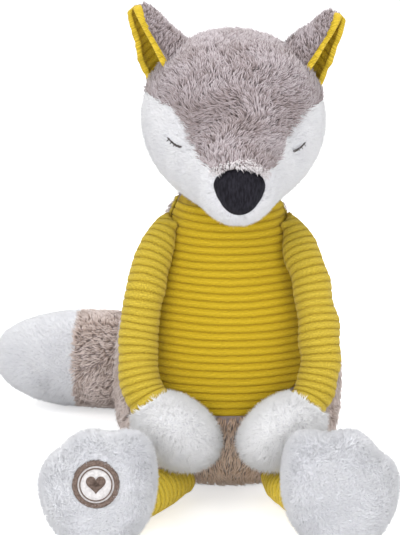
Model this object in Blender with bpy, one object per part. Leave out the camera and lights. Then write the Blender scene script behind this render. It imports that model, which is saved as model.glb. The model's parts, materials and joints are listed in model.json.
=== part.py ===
"""Plush fox sitting with its legs forward, as the pieces it is sewn and stuffed from.

Metres, +Z up. The fox faces -Y and its left hand is at +X. The origin is the middle of the flat patch
that it sits on. Each cover is a closed shell of cloth, and each filling is a solid inside its cover.
"""

import math

import bmesh
import bpy
from mathutils import Matrix, Vector
from mathutils.bvhtree import BVHTree

# Cloth and clearances
CLOTH = 0.0024
GAP = 0.0004
FILL_GAP = 0.0008
OVERRUN = 0.02
SETTLE = 0.0018
LEAST_LEFT_SHARE = 0.7
SWING_STEPS = 4

# Torso
TORSO_HEIGHT = 0.176
TORSO_HALF_WIDTH = 0.068
TORSO_HALF_DEPTH = 0.057
TORSO_SIDES = 24
NECK_RADIUS = 0.033
NECK_TOP_RADIUS = 0.028
BAG_TOP = 0.042
BELLY_SEAM_LOW = 0.049
BELLY_SEAM_RISE = 0.072
BELLY_SEAM_HALF_WIDTH = 0.061
BELLY_SEAM_STEPS = 14
SIDE_SEAM_FORWARD = 0.006

# Head
HEAD_LENGTH = 0.156
HEAD_BACK = 0.052
HEAD_HALF_WIDTH = 0.0532
HEAD_HALF_HEIGHT = 0.0497
HEAD_CENTRE_RISE = 0.0417
HEAD_CENTRE_HEIGHT = TORSO_HEIGHT + HEAD_CENTRE_RISE
HEAD_SIDES = 24
HEAD_TURN = math.radians(2)
HEAD_SHIFT = 0.0015
HEAD_TILT = math.radians(2.5)
HEAD_TILT_DROP = 0.0197
MASK_SIDE_SEAM_BACK = 0.018
NOSE_WIDTH = 0.028
NOSE_HEIGHT = 0.025
NOSE_THICKNESS = 0.0032
EYE_LENGTH = 0.0085
EYE_THREAD = 0.0011
EYE_SPACING = 0.069
EYE_DROP = 0.0079

# Ears
EAR_HEIGHT = 0.0445
EAR_HALF_WIDTH = 0.0164
EAR_SPACING = 0.0750
EAR_BASE_RISE = 0.0248
EAR_BASE_BACK = 0.0
EAR_LEAN = math.radians(31)
EAR_OPENING_TURN = math.radians(62)
EAR_WRAP = math.radians(124)
EAR_WRAP_STEPS = 10
EAR_LINING = 0.0014

# Arms
ARM_LIFT = math.radians(45)
ARM_RADIUS = 0.0128
PAW_HALF_WIDTH = 0.0225
PAW_HALF_THICKNESS = 0.0195
ARM_SIDES = 14

# Legs
LEG_DROP = math.radians(80)
LEG_RADIUS = 0.0132
LEG_REACH = 0.0868
FOOT_HALF_WIDTH = 0.0325
FOOT_HALF_HEIGHT = 0.0348
FOOT_DEPTH = 0.046
FOOT_LEAN = math.radians(10)
RIGHT_FOOT_OUT = 0.0725
LEFT_FOOT_OUT = 0.0595
HIP_OUT = 0.023
HIP_HEIGHT = 0.0105
LEG_SIDES = 24
BADGE_DIAMETER = 0.0256
BADGE_THICKNESS = 0.0012
BADGE_SIDES = 24
BADGE_RISE = 0.0135
BADGE_RING_SHARES = (0.3, 0.62, 0.88, 1.0)

# Tail
TAIL_SWING = math.radians(45)
TAIL_RADIUS = 0.0318
TAIL_LENGTH = 0.172
TAIL_SIDES = 16
TAIL_CLEARANCE = 0.002

# Sections of the torso from the seat up: height, half width, half depth, and how far back the middle lies
TORSO_SECTION_SHARES = (
    (0.0, 0.62, 0.63, 0.03),
    (0.022, 0.765, 0.77, 0.03),
    (0.085, 0.91, 0.91, 0.02),
    (0.19, 0.985, 0.99, 0.0),
    (0.32, 1.0, 1.0, 0.0),
    (0.455, 0.965, 0.955, 0.0),
    (0.59, 0.885, 0.87, 0.0),
    (0.715, 0.775, 0.75, 0.0),
    (0.815, 0.66, 0.64, 0.0),
)
# Neck above them: height as a share of the torso, and a place from the neck's full to its top radius
NECK_SECTION_SHARES = ((0.895, -0.6), (0.945, 0.0), (0.985, 0.55), (1.0, 1.0))

# Sections of the head from the back to the nose: distance, half width, half height, and drop of the middle
HEAD_SECTION_SHARES = (
    (0.022, 0.38, 0.38, 0.0),
    (0.085, 0.68, 0.68, 0.0),
    (0.185, 0.88, 0.9, 0.0),
    (0.305, 0.985, 1.0, 0.0),
    (0.42, 1.0, 0.99, 0.01),
    (0.52, 0.935, 0.945, 0.045),
    (0.61, 0.79, 0.84, 0.13),
    (0.69, 0.635, 0.70, 0.25),
    (0.77, 0.51, 0.575, 0.36),
    (0.85, 0.425, 0.48, 0.445),
    (0.92, 0.355, 0.395, 0.49),
    (0.973, 0.235, 0.25, 0.50),
)
HEAD_NOSE_DROP_SHARE = 0.50

# Edge of the white mask seen from the front: out from the middle and up from the head's middle
MASK_EDGE_SHARES = (
    (0.0, -0.30),
    (0.21, -0.31),
    (0.31, -0.28),
    (0.41, -0.16),
    (0.51, 0.05),
    (0.62, 0.19),
    (0.80, 0.245),
    (1.3, 0.25),
)
MASK_FLOOR_SHARE = -1.3

# Nose outline seen from the front, as shares of its half width and its height
NOSE_OUTLINE_SHARES = (
    (0.0, 0.5),
    (0.62, 0.48),
    (0.93, 0.34),
    (1.0, 0.16),
    (0.84, -0.12),
    (0.55, -0.36),
    (0.27, -0.48),
    (0.0, -0.52),
)
NOSE_CENTRE_SHARE = -0.49

# Shapes of one closed eye: along it and down from it, as shares of its length
EYE_LID_SHARES = ((-0.5, 0.3), (-0.3, 0.08), (0.0, -0.1), (0.3, -0.1), (0.5, 0.04))

# Ear from its root to its tip: height and radius
EAR_PROFILE_SHARES = (
    (0.0, 1.0),
    (0.2, 1.0),
    (0.4, 0.94),
    (0.6, 0.81),
    (0.78, 0.63),
    (0.9, 0.45),
    (0.97, 0.29),
    (1.0, 0.17),
)

# Arm line from the shoulder to the paw's tip: out, forward and up as shares of the torso's half width,
# half depth and height, then the half width and the half thickness as shares of the arm's radius
ARM_STATION_SHARES = (
    (0.475, -0.11, 0.912, 0.42, 0.62),
    (0.540, -0.30, 0.862, 0.80, 0.82),
    (0.635, -0.48, 0.795, 0.97, 0.92),
    (0.715, -0.67, 0.700, 1.0, 0.98),
    (0.765, -0.83, 0.575, 1.0, 1.0),
    (0.785, -0.97, 0.465, 1.02, 1.0),
    (0.735, -1.085, 0.385, 1.04, 0.98),
)
WRIST_SHARE = (0.670, -1.155, 0.345, 1.0, 0.94)
# Paw beyond the wrist: the same places, then shares of the paw's own half width and half thickness
PAW_STATION_SHARES = (
    (0.620, -1.185, 0.325, 0.78, 0.84),
    (0.520, -1.255, 0.290, 1.0, 1.0),
    (0.395, -1.340, 0.264, 1.0, 0.98),
    (0.265, -1.410, 0.249, 0.84, 0.82),
    (0.165, -1.460, 0.241, 0.54, 0.52),
)
ARM_LEVEL_SHARE = (0.72, -0.25, 0.65)
PAW_TIP_SHARE = (0.100, -1.490, 0.237)

# Leg from the hip to the ankle: along its reach, out from the hip to the foot, and its radius
LEG_STATION_SHARES = (
    (0.0, 0.0, 0.46),
    (0.12, 0.10, 0.74),
    (0.30, 0.28, 0.93),
    (0.50, 0.50, 1.0),
    (0.68, 0.72, 1.0),
)
ANKLE_SHARE = (0.76, 0.82, 0.97)
HIP_FORWARD_SHARE = 0.82
ANKLE_RISE_SHARE = 0.35
FOOT_FULL_WIDTH_SHARE = 0.52
FOOT_FULL_RISE_SHARE = 0.28
# Foot beyond the ankle: along its depth, and its half width and half height
FOOT_STATION_SHARES = (
    (0.09, 0.60, 0.60),
    (0.28, 0.87, 0.87),
    (0.52, 1.0, 1.0),
    (0.74, 0.97, 0.97),
    (0.91, 0.80, 0.80),
    (0.985, 0.52, 0.52),
)
# Outline of a foot's section: degrees from its outer side over the top, and radius. The inner toe stands out
FOOT_OUTLINE_SHARES = (
    (-90, 0.97),
    (-56, 0.86),
    (-32, 0.87),
    (-16, 0.91),
    (2, 0.97),
    (15, 1.02),
    (27, 1.05),
    (40, 1.06),
    (54, 1.0),
    (68, 1.05),
    (82, 1.06),
    (97, 1.0),
    (112, 1.13),
    (127, 1.22),
    (138, 1.19),
    (147, 1.12),
    (160, 1.02),
    (175, 0.96),
    (190, 0.93),
    (211, 0.88),
    (229, 0.86),
    (250, 0.90),
    (270, 0.97),
)

# Tail from its root to its tip: along the three axes and radius, as shares of its length and radius
TAIL_STATION_SHARES = (
    (0.0, 0.0, -0.05, 0.36),
    (-0.04, 0.10, -0.03, 0.58),
    (-0.13, 0.21, -0.01, 0.84),
    (-0.27, 0.30, 0.0, 1.0),
)
TAIL_BAND_SHARE = (-0.50, 0.337, 0.0, 0.99)
TAIL_TIP_STATION_SHARES = (
    (-0.56, 0.337, 0.0, 0.97),
    (-0.66, 0.337, 0.005, 0.86),
    (-0.745, 0.337, 0.015, 0.66),
    (-0.80, 0.337, 0.025, 0.40),
)
TAIL_POLE_SHARE = (-0.825, 0.337, 0.03)
TAIL_ROOT_OUT_SHARE = -0.16
TAIL_ROOT_BACK_SHARE = 0.9

# Colours
CORDUROY_YELLOW = (0.62, 0.43, 0.015)
PLUSH_GREY = (0.36, 0.29, 0.25)
PLUSH_WHITE = (0.82, 0.83, 0.86)
NOSE_BLACK = (0.018, 0.018, 0.024)
THREAD_DARK = (0.06, 0.06, 0.07)
THREAD_BROWN = (0.10, 0.065, 0.05)
FIBRE_WHITE = (0.86, 0.86, 0.84)
BAG_LINEN = (0.75, 0.72, 0.66)


def material(name, colour, roughness):
    """A cloth finish, made once for each name."""
    made = bpy.data.materials.get(name)
    if made is None:
        made = bpy.data.materials.new(name)
        made.use_nodes = True
        shader = made.node_tree.nodes["Principled BSDF"]
        shader.inputs["Base Color"].default_value = (*colour, 1.0)
        shader.inputs["Roughness"].default_value = roughness
        shader.inputs["Metallic"].default_value = 0.0
        made.diffuse_color = (*colour, 1.0)
    return made


def corduroy():
    return material("corduroy", CORDUROY_YELLOW, 0.85)


def grey_plush():
    return material("grey_plush", PLUSH_GREY, 0.95)


def white_plush():
    return material("white_plush", PLUSH_WHITE, 0.95)


def fibre():
    return material("fibre_fill", FIBRE_WHITE, 1.0)


def add_mesh(name, points, faces, finish=None):
    """A closed mesh object with its faces turned outwards."""
    mesh = bpy.data.meshes.new(name)
    mesh.from_pydata([tuple(p) for p in points], [], faces)
    work = bmesh.new()
    work.from_mesh(mesh)
    bmesh.ops.recalc_face_normals(work, faces=work.faces)
    work.to_mesh(mesh)
    work.free()
    mesh.shade_smooth()
    mesh.set_sharp_from_angle(angle=math.radians(50))
    made = bpy.data.objects.new(name, mesh)
    bpy.context.scene.collection.objects.link(made)
    if finish is not None:
        made.data.materials.append(finish)
    return made


def hide(guide):
    """Makes an object a cutter or a guide, which isn't a piece of the fox."""
    guide.hide_render = True
    guide.display_type = "WIRE"
    return guide


def oval(centre, across, upward, half_width, half_height, sides, swell=None):
    """Points of a ring. swell gives each angle's own factor, for toes."""
    ring = []
    for step in range(sides):
        angle = 2 * math.pi * (step + 0.5) / sides
        factor = 1.0 if swell is None else swell(angle)
        ring.append(
            centre
            + across * (half_width * math.cos(angle) * factor)
            + upward * (half_height * math.sin(angle) * factor)
        )
    return ring


def skin_of(rings, first, last):
    """Points and faces through the rings. Each end closes at a pole, or with a flat face where it is None."""
    sides = len(rings[0])
    points = [p for ring in rings for p in ring]
    faces = []
    for row in range(len(rings) - 1):
        for step in range(sides):
            after = (step + 1) % sides
            low, high = row * sides, (row + 1) * sides
            faces.append((low + step, low + after, high + after, high + step))
    for pole, row, turn in ((first, 0, 1), (last, len(rings) - 1, -1)):
        edge = [row * sides + step for step in range(sides)]
        if pole is None:
            faces.append(tuple(edge[::-turn]))
        else:
            points.append(pole)
            tip = len(points) - 1
            for step in range(sides):
                faces.append((edge[step], edge[(step + 1) % sides], tip)[:: -turn])
    return points, faces


def cup_of(outer, outer_pole, inner, inner_pole):
    """Points and faces of a cloth cup: out along the outer rings, round the rim, and back inside."""
    return skin_of(outer + inner[::-1], outer_pole, inner_pole)


def resting(rings, floor):
    """Flattens the underside of a stuffed form, so that none of it is lower than the floor."""
    for ring in rings:
        for p in ring:
            p.z = max(p.z, floor)
    return rings


def moved_skin(points, faces, distance):
    """The same form with every point moved along its normal: out for a positive distance."""
    work = bmesh.new()
    corners = [work.verts.new(p) for p in points]
    for face in faces:
        work.faces.new([corners[i] for i in face])
    bmesh.ops.recalc_face_normals(work, faces=work.faces)
    work.normal_update()
    result = [v.co + v.normal * distance for v in corners]
    work.free()
    return result


def volume_of(mesh):
    """The volume inside a closed mesh."""
    work = bmesh.new()
    work.from_mesh(mesh)
    volume = work.calc_volume(signed=True)
    work.free()
    return volume


def boolean(target, cutter, operation, least_left=0.0):
    """One Boolean step, applied straight away. The second solver is for a step that the first one fails."""
    step = target.modifiers.new("cut", "BOOLEAN")
    step.object = cutter
    step.operation = operation
    least = least_left * volume_of(target.data)
    for solver in ("EXACT", "MANIFOLD"):
        step.solver = solver
        graph = bpy.context.evaluated_depsgraph_get()
        result = bpy.data.meshes.new_from_object(target.evaluated_get(graph))
        if result.polygons and volume_of(result) > least:
            break
    target.modifiers.clear()
    target.data = result
    return target


def shell_between(name, points, faces, outside, inside, finish):
    """A cover of even thickness round a form, before it is cut into its panels."""
    outer = add_mesh(name, moved_skin(points, faces, outside), faces, finish)
    core = add_mesh(name + "_core", moved_skin(points, faces, inside), faces)
    boolean(outer, core, "DIFFERENCE")
    bpy.data.objects.remove(core)
    return outer


def prism(name, outline, near, far):
    """A cutter: an outline seen from the front, in X and Z, carried from near to far along Y."""
    count = len(outline)
    points = [Vector((x, near, z)) for x, z in outline] + [Vector((x, far, z)) for x, z in outline]
    faces = [tuple(range(count)), tuple(range(2 * count - 1, count - 1, -1))]
    for i in range(count):
        j = (i + 1) % count
        faces.append((i, j, count + j, count + i))
    return hide(add_mesh(name, points, faces))


def block(name, low, high):
    """A cutter: a plain box between two corners."""
    return prism(name, [(low.x, low.z), (high.x, low.z), (high.x, high.z), (low.x, high.z)], low.y, high.y)


def group(name, place=(0.0, 0.0, 0.0)):
    """An empty on a joint, which the pieces of one moving body hang from."""
    made = bpy.data.objects.new(name, None)
    made.location = place
    bpy.context.scene.collection.objects.link(made)
    return made


def hang(parent, *pieces):
    """Parents pieces that were modelled in place, with each origin moved onto the parent's."""
    for piece in pieces:
        piece.data.transform(Matrix.Translation(-parent.location))
        piece.parent = parent


# Torso


def torso_form():
    """The whole stuffed torso, from the flat seat to the flat top of the neck."""
    rings = []
    for height, wide, deep, back in TORSO_SECTION_SHARES:
        centre = Vector((0.0, back * TORSO_HALF_DEPTH, height * TORSO_HEIGHT))
        rings.append(
            oval(
                centre,
                Vector((1, 0, 0)),
                Vector((0, 1, 0)),
                wide * TORSO_HALF_WIDTH,
                deep * TORSO_HALF_DEPTH,
                TORSO_SIDES,
            )
        )
    rings += [neck_ring(height, place, 0.0) for height, place in NECK_SECTION_SHARES]
    return skin_of(rings, None, None)


def belly_outline(grow):
    """The corduroy front seen from the front: a round bottom edge and straight sides up past the neck."""
    half = BELLY_SEAM_HALF_WIDTH + grow
    middle = BELLY_SEAM_LOW + BELLY_SEAM_RISE
    rise = BELLY_SEAM_RISE + grow
    arc = []
    for step in range(BELLY_SEAM_STEPS + 1):
        angle = math.pi + math.pi * step / BELLY_SEAM_STEPS
        arc.append((half * math.cos(angle), middle + rise * math.sin(angle)))
    top = TORSO_HEIGHT + OVERRUN
    return arc + [(half, top), (-half, top)]


def torso(root):
    points, faces = torso_form()
    back = shell_between("torso_back_cover", points, faces, 0.0, -CLOTH, grey_plush())
    front = shell_between("torso_front_panel", points, faces, 0.0, -CLOTH, corduroy())
    far_front = -TORSO_HALF_DEPTH - OVERRUN
    inside_cut = prism("belly_cut", belly_outline(-GAP / 2), far_front, -SIDE_SEAM_FORWARD - GAP / 2)
    outside_cut = prism("belly_cut_wide", belly_outline(GAP / 2), far_front, -SIDE_SEAM_FORWARD + GAP / 2)
    boolean(front, inside_cut, "INTERSECT")
    boolean(back, outside_cut, "DIFFERENCE")

    inner = moved_skin(points, faces, -CLOTH - FILL_GAP)
    fill = add_mesh("torso_filling", inner, faces, fibre())
    bag = add_mesh("seat_pellet_bag", inner, faces, material("bag_linen", BAG_LINEN, 0.9))
    wide = TORSO_HALF_WIDTH + OVERRUN
    deep = TORSO_HALF_DEPTH + OVERRUN
    above = block(
        "above_bag",
        Vector((-wide, -deep, BAG_TOP - FILL_GAP / 2)),
        Vector((wide, deep, TORSO_HEIGHT + OVERRUN)),
    )
    below = block(
        "below_filling", Vector((-wide, -deep, -OVERRUN)), Vector((wide, deep, BAG_TOP + FILL_GAP / 2))
    )
    boolean(bag, above, "DIFFERENCE")
    boolean(fill, below, "DIFFERENCE")
    for cutter in (inside_cut, outside_cut, above, below):
        bpy.data.objects.remove(cutter)
    hang(root, back, front, fill, bag)


def torso_keeper(distance):
    """A guide that is the torso grown by a clearance. Smaller pieces are cut by it."""
    points, faces = torso_form()
    return hide(add_mesh("torso_keeper", moved_skin(points, faces, distance), faces))


# Head


def head_form():
    """Skull and muzzle as one stuffed form, from the back of the head to the nose."""
    rings = []
    for along, wide, tall, drop in HEAD_SECTION_SHARES:
        centre = Vector(
            (0.0, HEAD_BACK - along * HEAD_LENGTH, HEAD_CENTRE_HEIGHT - drop * HEAD_HALF_HEIGHT)
        )
        rings.append(
            oval(
                centre,
                Vector((1, 0, 0)),
                Vector((0, 0, 1)),
                wide * HEAD_HALF_WIDTH,
                tall * HEAD_HALF_HEIGHT,
                HEAD_SIDES,
            )
        )
    back_pole = Vector((0.0, HEAD_BACK, HEAD_CENTRE_HEIGHT))
    nose_pole = Vector(
        (0.0, HEAD_BACK - HEAD_LENGTH, HEAD_CENTRE_HEIGHT - HEAD_NOSE_DROP_SHARE * HEAD_HALF_HEIGHT)
    )
    return skin_of(rings, back_pole, nose_pole)


def neck_ring(height, place, grow):
    """One ring of the round neck, which may be grown by a clearance."""
    radius = NECK_RADIUS + place * (NECK_TOP_RADIUS - NECK_RADIUS) + grow
    centre = Vector((0.0, 0.0, height * TORSO_HEIGHT))
    return oval(centre, Vector((1, 0, 0)), Vector((0, 1, 0)), radius, radius, TORSO_SIDES)


def head_pose():
    """The head is sewn on a little to one side and a little tilted."""
    pivot = Matrix.Translation((0.0, 0.0, HEAD_CENTRE_HEIGHT - HEAD_TILT_DROP))
    tilt = pivot @ Matrix.Rotation(HEAD_TILT, 4, "Y") @ pivot.inverted()
    return Matrix.Translation((HEAD_SHIFT, 0.0, 0.0)) @ tilt


def neck_recess(grow):
    """A cutter: the round neck grown by a clearance, so that the head turns on it."""
    rings = [neck_ring(height, place, grow) for height, place in NECK_SECTION_SHARES]
    for p in rings[-1]:
        p.z += grow
    base = [Vector((p.x, p.y, p.z - OVERRUN)) for p in rings[0]]
    points, faces = skin_of([base, *rings], None, None)
    recess = hide(add_mesh("neck_recess", points, faces))
    recess.data.transform(head_pose().inverted())
    return recess


def mask_outline(side, grow):
    """One cheek's white panel seen from the front, from the middle of the muzzle out past the head's side."""
    edge = [
        (out * HEAD_HALF_WIDTH, HEAD_CENTRE_HEIGHT + up * HEAD_HALF_HEIGHT) for out, up in MASK_EDGE_SHARES
    ]
    floor = HEAD_CENTRE_HEIGHT + MASK_FLOOR_SHARE * HEAD_HALF_HEIGHT
    edge = [(x, z + grow) for x, z in edge]
    edge[0] = (-grow, edge[0][1])
    outline = [*edge, (edge[-1][0], floor), (-grow, floor)]
    return [(side * x, z) for x, z in outline]


def head_panels(points, faces):
    """The grey crown and the two white cheeks, cut from one cover."""
    front = HEAD_BACK - HEAD_LENGTH - OVERRUN
    recess = neck_recess(GAP)
    crown = shell_between("head_crown", points, faces, 0.0, -CLOTH, grey_plush())
    made = [crown]
    for name, side in (("cheek_left", 1), ("cheek_right", -1)):
        cheek = shell_between(name, points, faces, 0.0, -CLOTH, white_plush())
        narrow = prism("mask_cut", mask_outline(side, -GAP / 2), front, MASK_SIDE_SEAM_BACK - GAP / 2)
        broad = prism("mask_cut_wide", mask_outline(side, GAP / 2), front, MASK_SIDE_SEAM_BACK + GAP / 2)
        boolean(cheek, narrow, "INTERSECT")
        boolean(crown, broad, "DIFFERENCE")
        boolean(cheek, recess, "DIFFERENCE")
        bpy.data.objects.remove(narrow)
        bpy.data.objects.remove(broad)
        made.append(cheek)
    boolean(crown, recess, "DIFFERENCE")
    bpy.data.objects.remove(recess)
    return made


def nose(points, faces):
    """The black nose: a padded cap over the end of the muzzle."""
    cap = shell_between("nose", points, faces, NOSE_THICKNESS, GAP, material("nose_cloth", NOSE_BLACK, 0.6))
    half = NOSE_WIDTH / 2
    middle = HEAD_CENTRE_HEIGHT + NOSE_CENTRE_SHARE * HEAD_HALF_HEIGHT
    right = [(out * half, middle + up * NOSE_HEIGHT) for out, up in NOSE_OUTLINE_SHARES]
    left = [(-x, z) for x, z in right[-2:0:-1]]
    front = HEAD_BACK - HEAD_LENGTH
    cutter = prism("nose_cut", right + left, front - OVERRUN, front + NOSE_HEIGHT)
    boolean(cap, cutter, "INTERSECT")
    bpy.data.objects.remove(cutter)
    return cap


def eye(name, side, surface):
    """A closed eye: one thick line of thread that follows the cheek."""
    line = bpy.data.curves.new(name, "CURVE")
    line.dimensions = "3D"
    line.bevel_depth = EYE_THREAD / 2
    line.bevel_resolution = 1
    line.use_fill_caps = True
    spline = line.splines.new("POLY")
    spline.points.add(len(EYE_LID_SHARES) - 1)
    start = HEAD_BACK - HEAD_LENGTH - OVERRUN
    for point, (along, down) in zip(spline.points, EYE_LID_SHARES, strict=True):
        x = side * (EYE_SPACING / 2 - along * EYE_LENGTH)
        z = HEAD_CENTRE_HEIGHT - EYE_DROP + down * EYE_LENGTH
        hit, normal, _, _ = surface.ray_cast(Vector((x, start, z)), Vector((0, 1, 0)))
        place = hit + normal * (GAP + EYE_THREAD / 2)
        point.co = (*place, 1.0)
    made = bpy.data.objects.new(name, line)
    made.data.materials.append(material("thread_dark", THREAD_DARK, 0.7))
    bpy.context.scene.collection.objects.link(made)
    return made


def ear_leaf(name, side, inner, outer, finish):
    """A pointed leaf of cloth bent into a half cone round the ear's own line, between two radii."""
    steps = EAR_WRAP_STEPS
    rows = len(EAR_PROFILE_SHARES)
    up = Vector((side * math.sin(EAR_LEAN), 0.0, math.cos(EAR_LEAN)))
    opening = Vector((side * math.sin(EAR_OPENING_TURN), -math.cos(EAR_OPENING_TURN), 0.0))
    opening = (opening - up * opening.dot(up)).normalized()
    across = up.cross(opening)
    base = Vector((side * EAR_SPACING / 2, EAR_BASE_BACK, HEAD_CENTRE_HEIGHT + EAR_BASE_RISE))
    layers = []
    for depth in (outer, inner):
        layer = []
        for rise, wide in EAR_PROFILE_SHARES:
            radius = wide * EAR_HALF_WIDTH + depth
            height = rise * (EAR_HEIGHT + depth)
            for step in range(steps + 1):
                angle = EAR_WRAP * (2 * step / steps - 1)
                layer.append(
                    base
                    + up * height
                    - opening * (radius * math.cos(angle))
                    + across * (radius * math.sin(angle))
                )
        layers.append(layer)
    points = layers[0] + layers[1]
    width = steps + 1
    count = rows * width
    faces = []
    for row in range(rows - 1):
        for step in range(steps):
            a = row * width + step
            faces.append((a, a + 1, a + width + 1, a + width))
            faces.append(tuple(count + i for i in (a + width, a + width + 1, a + 1, a)))
    for row in range(rows - 1):
        for step in (0, steps):
            a, b = row * width + step, (row + 1) * width + step
            faces.append((a, b, count + b, count + a))
    for step in range(steps):
        for row in (0, rows - 1):
            a, b = row * width + step, row * width + step + 1
            faces.append((a, b, count + b, count + a))
    return add_mesh(name, points, faces, finish)


def ears(head_keeper):
    """Two folded ears: a grey outside and a corduroy lining each, cut by the head that they are sewn to."""
    made = []
    for label, side in (("left", 1), ("right", -1)):
        outside = ear_leaf(f"ear_{label}_outer", side, -CLOTH, 0.0, grey_plush())
        lining = ear_leaf(
            f"ear_{label}_lining", side, -CLOTH - GAP - EAR_LINING, -CLOTH - GAP, corduroy()
        )
        for leaf in (outside, lining):
            boolean(leaf, head_keeper, "DIFFERENCE")
            made.append(leaf)
    return made


def head(turning):
    points, faces = head_form()
    surface = BVHTree.FromPolygons([tuple(p) for p in points], faces)
    pieces = head_panels(points, faces)
    pieces.append(nose(points, faces))
    fill = add_mesh("head_filling", moved_skin(points, faces, -CLOTH - FILL_GAP), faces, fibre())
    recess = neck_recess(GAP)
    boolean(fill, recess, "DIFFERENCE")
    bpy.data.objects.remove(recess)
    keeper = hide(add_mesh("head_keeper", moved_skin(points, faces, GAP), faces))
    pieces += [fill, *ears(keeper)]
    bpy.data.objects.remove(keeper)
    pieces += [eye(name, side, surface) for name, side in (("eye_left", 1), ("eye_right", -1))]
    for piece in pieces:
        piece.data.transform(head_pose())
    hang(turning, *pieces)
    turning.rotation_euler = (0.0, 0.0, HEAD_TURN)


# Limbs


def along(stations):
    """For each station of a limb, the unit vectors across it: one as level as it can be, one square to it."""
    centres = [s[0] for s in stations]
    frames = []
    for i, centre in enumerate(centres):
        before = centres[max(i - 1, 0)]
        after = centres[min(i + 1, len(centres) - 1)]
        line = (after - before).normalized()
        frames.append(line)
    return frames


def limb_rings(stations, lines, level, sides, swells):
    """Rings round a limb's stations: centre, half width, half thickness. The width lies along level."""
    rings = []
    for (centre, wide, thick), line, swell in zip(stations, lines, swells, strict=True):
        across = (level - line * level.dot(line)).normalized()
        other = line.cross(across)
        rings.append(oval(centre, across, other, wide, thick, sides, swell))
    return rings


def limb_form(near, wrist, far, tip, level, sides, straight=None, swell=None):
    """The whole skin of a limb, from the pole at its root to the pole at its tip."""
    stations = [*near, wrist, *far]
    lines = along(stations) if straight is None else [straight] * len(stations)
    swells = [None] * (len(near) + 1) + [swell] * len(far)
    rings = limb_rings(stations, lines, level, sides, swells)
    root = near[0][0] - lines[0] * (CLOTH / 2)
    points, faces = skin_of(rings, root, tip)
    return points, faces, lines[len(near)]


def stuffed_limb(names, form, wrist_row, sides, finishes):
    """A limb as three closed solids: the sleeve, the end cover beyond the wrist, and the filling in both."""
    points, faces, line = form
    count = (len(points) - 2) // sides
    layers = []
    for depth in (0.0, CLOTH, CLOTH + FILL_GAP):
        moved = moved_skin(points, faces, -depth)
        rings = [moved[row * sides : (row + 1) * sides] for row in range(count)]
        layers.append((resting(rings, depth), moved[-2], moved[-1]))
    (outer, root, tip), (inner, inner_root, inner_tip), (core, core_root, core_tip) = layers

    def seam(rings, way):
        return [p + line * (way * GAP / 2) for p in rings[wrist_row]]

    near_outer = [*outer[:wrist_row], seam(outer, -1)]
    near_inner = [*inner[:wrist_row], seam(inner, -1)]
    far_outer = [seam(outer, 1), *outer[wrist_row + 1 :]]
    far_inner = [seam(inner, 1), *inner[wrist_row + 1 :]]
    sleeve = cup_of(near_outer, root, near_inner, inner_root)
    end = cup_of(far_outer[::-1], tip, far_inner[::-1], inner_tip)
    filling = skin_of(core, core_root, core_tip)
    return [
        add_mesh(name, *shape, finish)
        for name, shape, finish in zip(names, (sleeve, end, filling), finishes, strict=True)
    ]


def clear_of(pieces, keeper, pivot, axis, reach):
    """Cuts pieces by the form that they are sewn to, at rest and at steps of their swing."""
    for step in range(SWING_STEPS + 1):
        turn = Matrix.Rotation(-reach * step / SWING_STEPS, 4, axis)
        cutter = keeper.copy()
        cutter.data = keeper.data.copy()
        cutter.data.transform(Matrix.Translation(pivot) @ turn @ Matrix.Translation(-pivot))
        bpy.context.scene.collection.objects.link(cutter)
        for piece in pieces:
            boolean(piece, cutter, "DIFFERENCE", LEAST_LEFT_SHARE)
        bpy.data.objects.remove(cutter)


def arm_stations(side):
    def place(out, forward, up):
        return Vector((side * out * TORSO_HALF_WIDTH, forward * TORSO_HALF_DEPTH, up * TORSO_HEIGHT))

    near = [
        (place(*s[:3]), s[3] * ARM_RADIUS, s[4] * ARM_RADIUS) for s in ARM_STATION_SHARES
    ]
    wrist = (place(*WRIST_SHARE[:3]), WRIST_SHARE[3] * ARM_RADIUS, WRIST_SHARE[4] * ARM_RADIUS)
    far = [
        (place(*s[:3]), s[3] * PAW_HALF_WIDTH, s[4] * PAW_HALF_THICKNESS) for s in PAW_STATION_SHARES
    ]
    return near, wrist, far, place(*PAW_TIP_SHARE)


def arm(label, side, swinging, keeper):
    near, wrist, far, tip = arm_stations(side)
    level = Vector((side * ARM_LEVEL_SHARE[0], *ARM_LEVEL_SHARE[1:])).normalized()
    names = (f"sleeve_{label}", f"paw_{label}", f"arm_{label}_filling")
    form = limb_form(near, wrist, far, tip, level, ARM_SIDES)
    pieces = stuffed_limb(names, form, len(near), ARM_SIDES, (corduroy(), white_plush(), fibre()))
    swinging.location = near[0][0]
    clear_of(pieces, keeper, near[0][0], Vector((-1, 0, 0)), ARM_LIFT)
    hang(swinging, *pieces)


def toes_of(side):
    """The factor of a foot's radius at each angle, with three soft toes along its top edge."""

    def factor(angle):
        from_outside = math.degrees(angle if side > 0 else math.pi - angle)
        turned = (from_outside + 90) % 360 - 90
        for (low, before), (high, after) in zip(FOOT_OUTLINE_SHARES, FOOT_OUTLINE_SHARES[1:]):
            if low <= turned <= high:
                return before + (after - before) * (turned - low) / (high - low)
        return 1.0

    return factor


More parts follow.
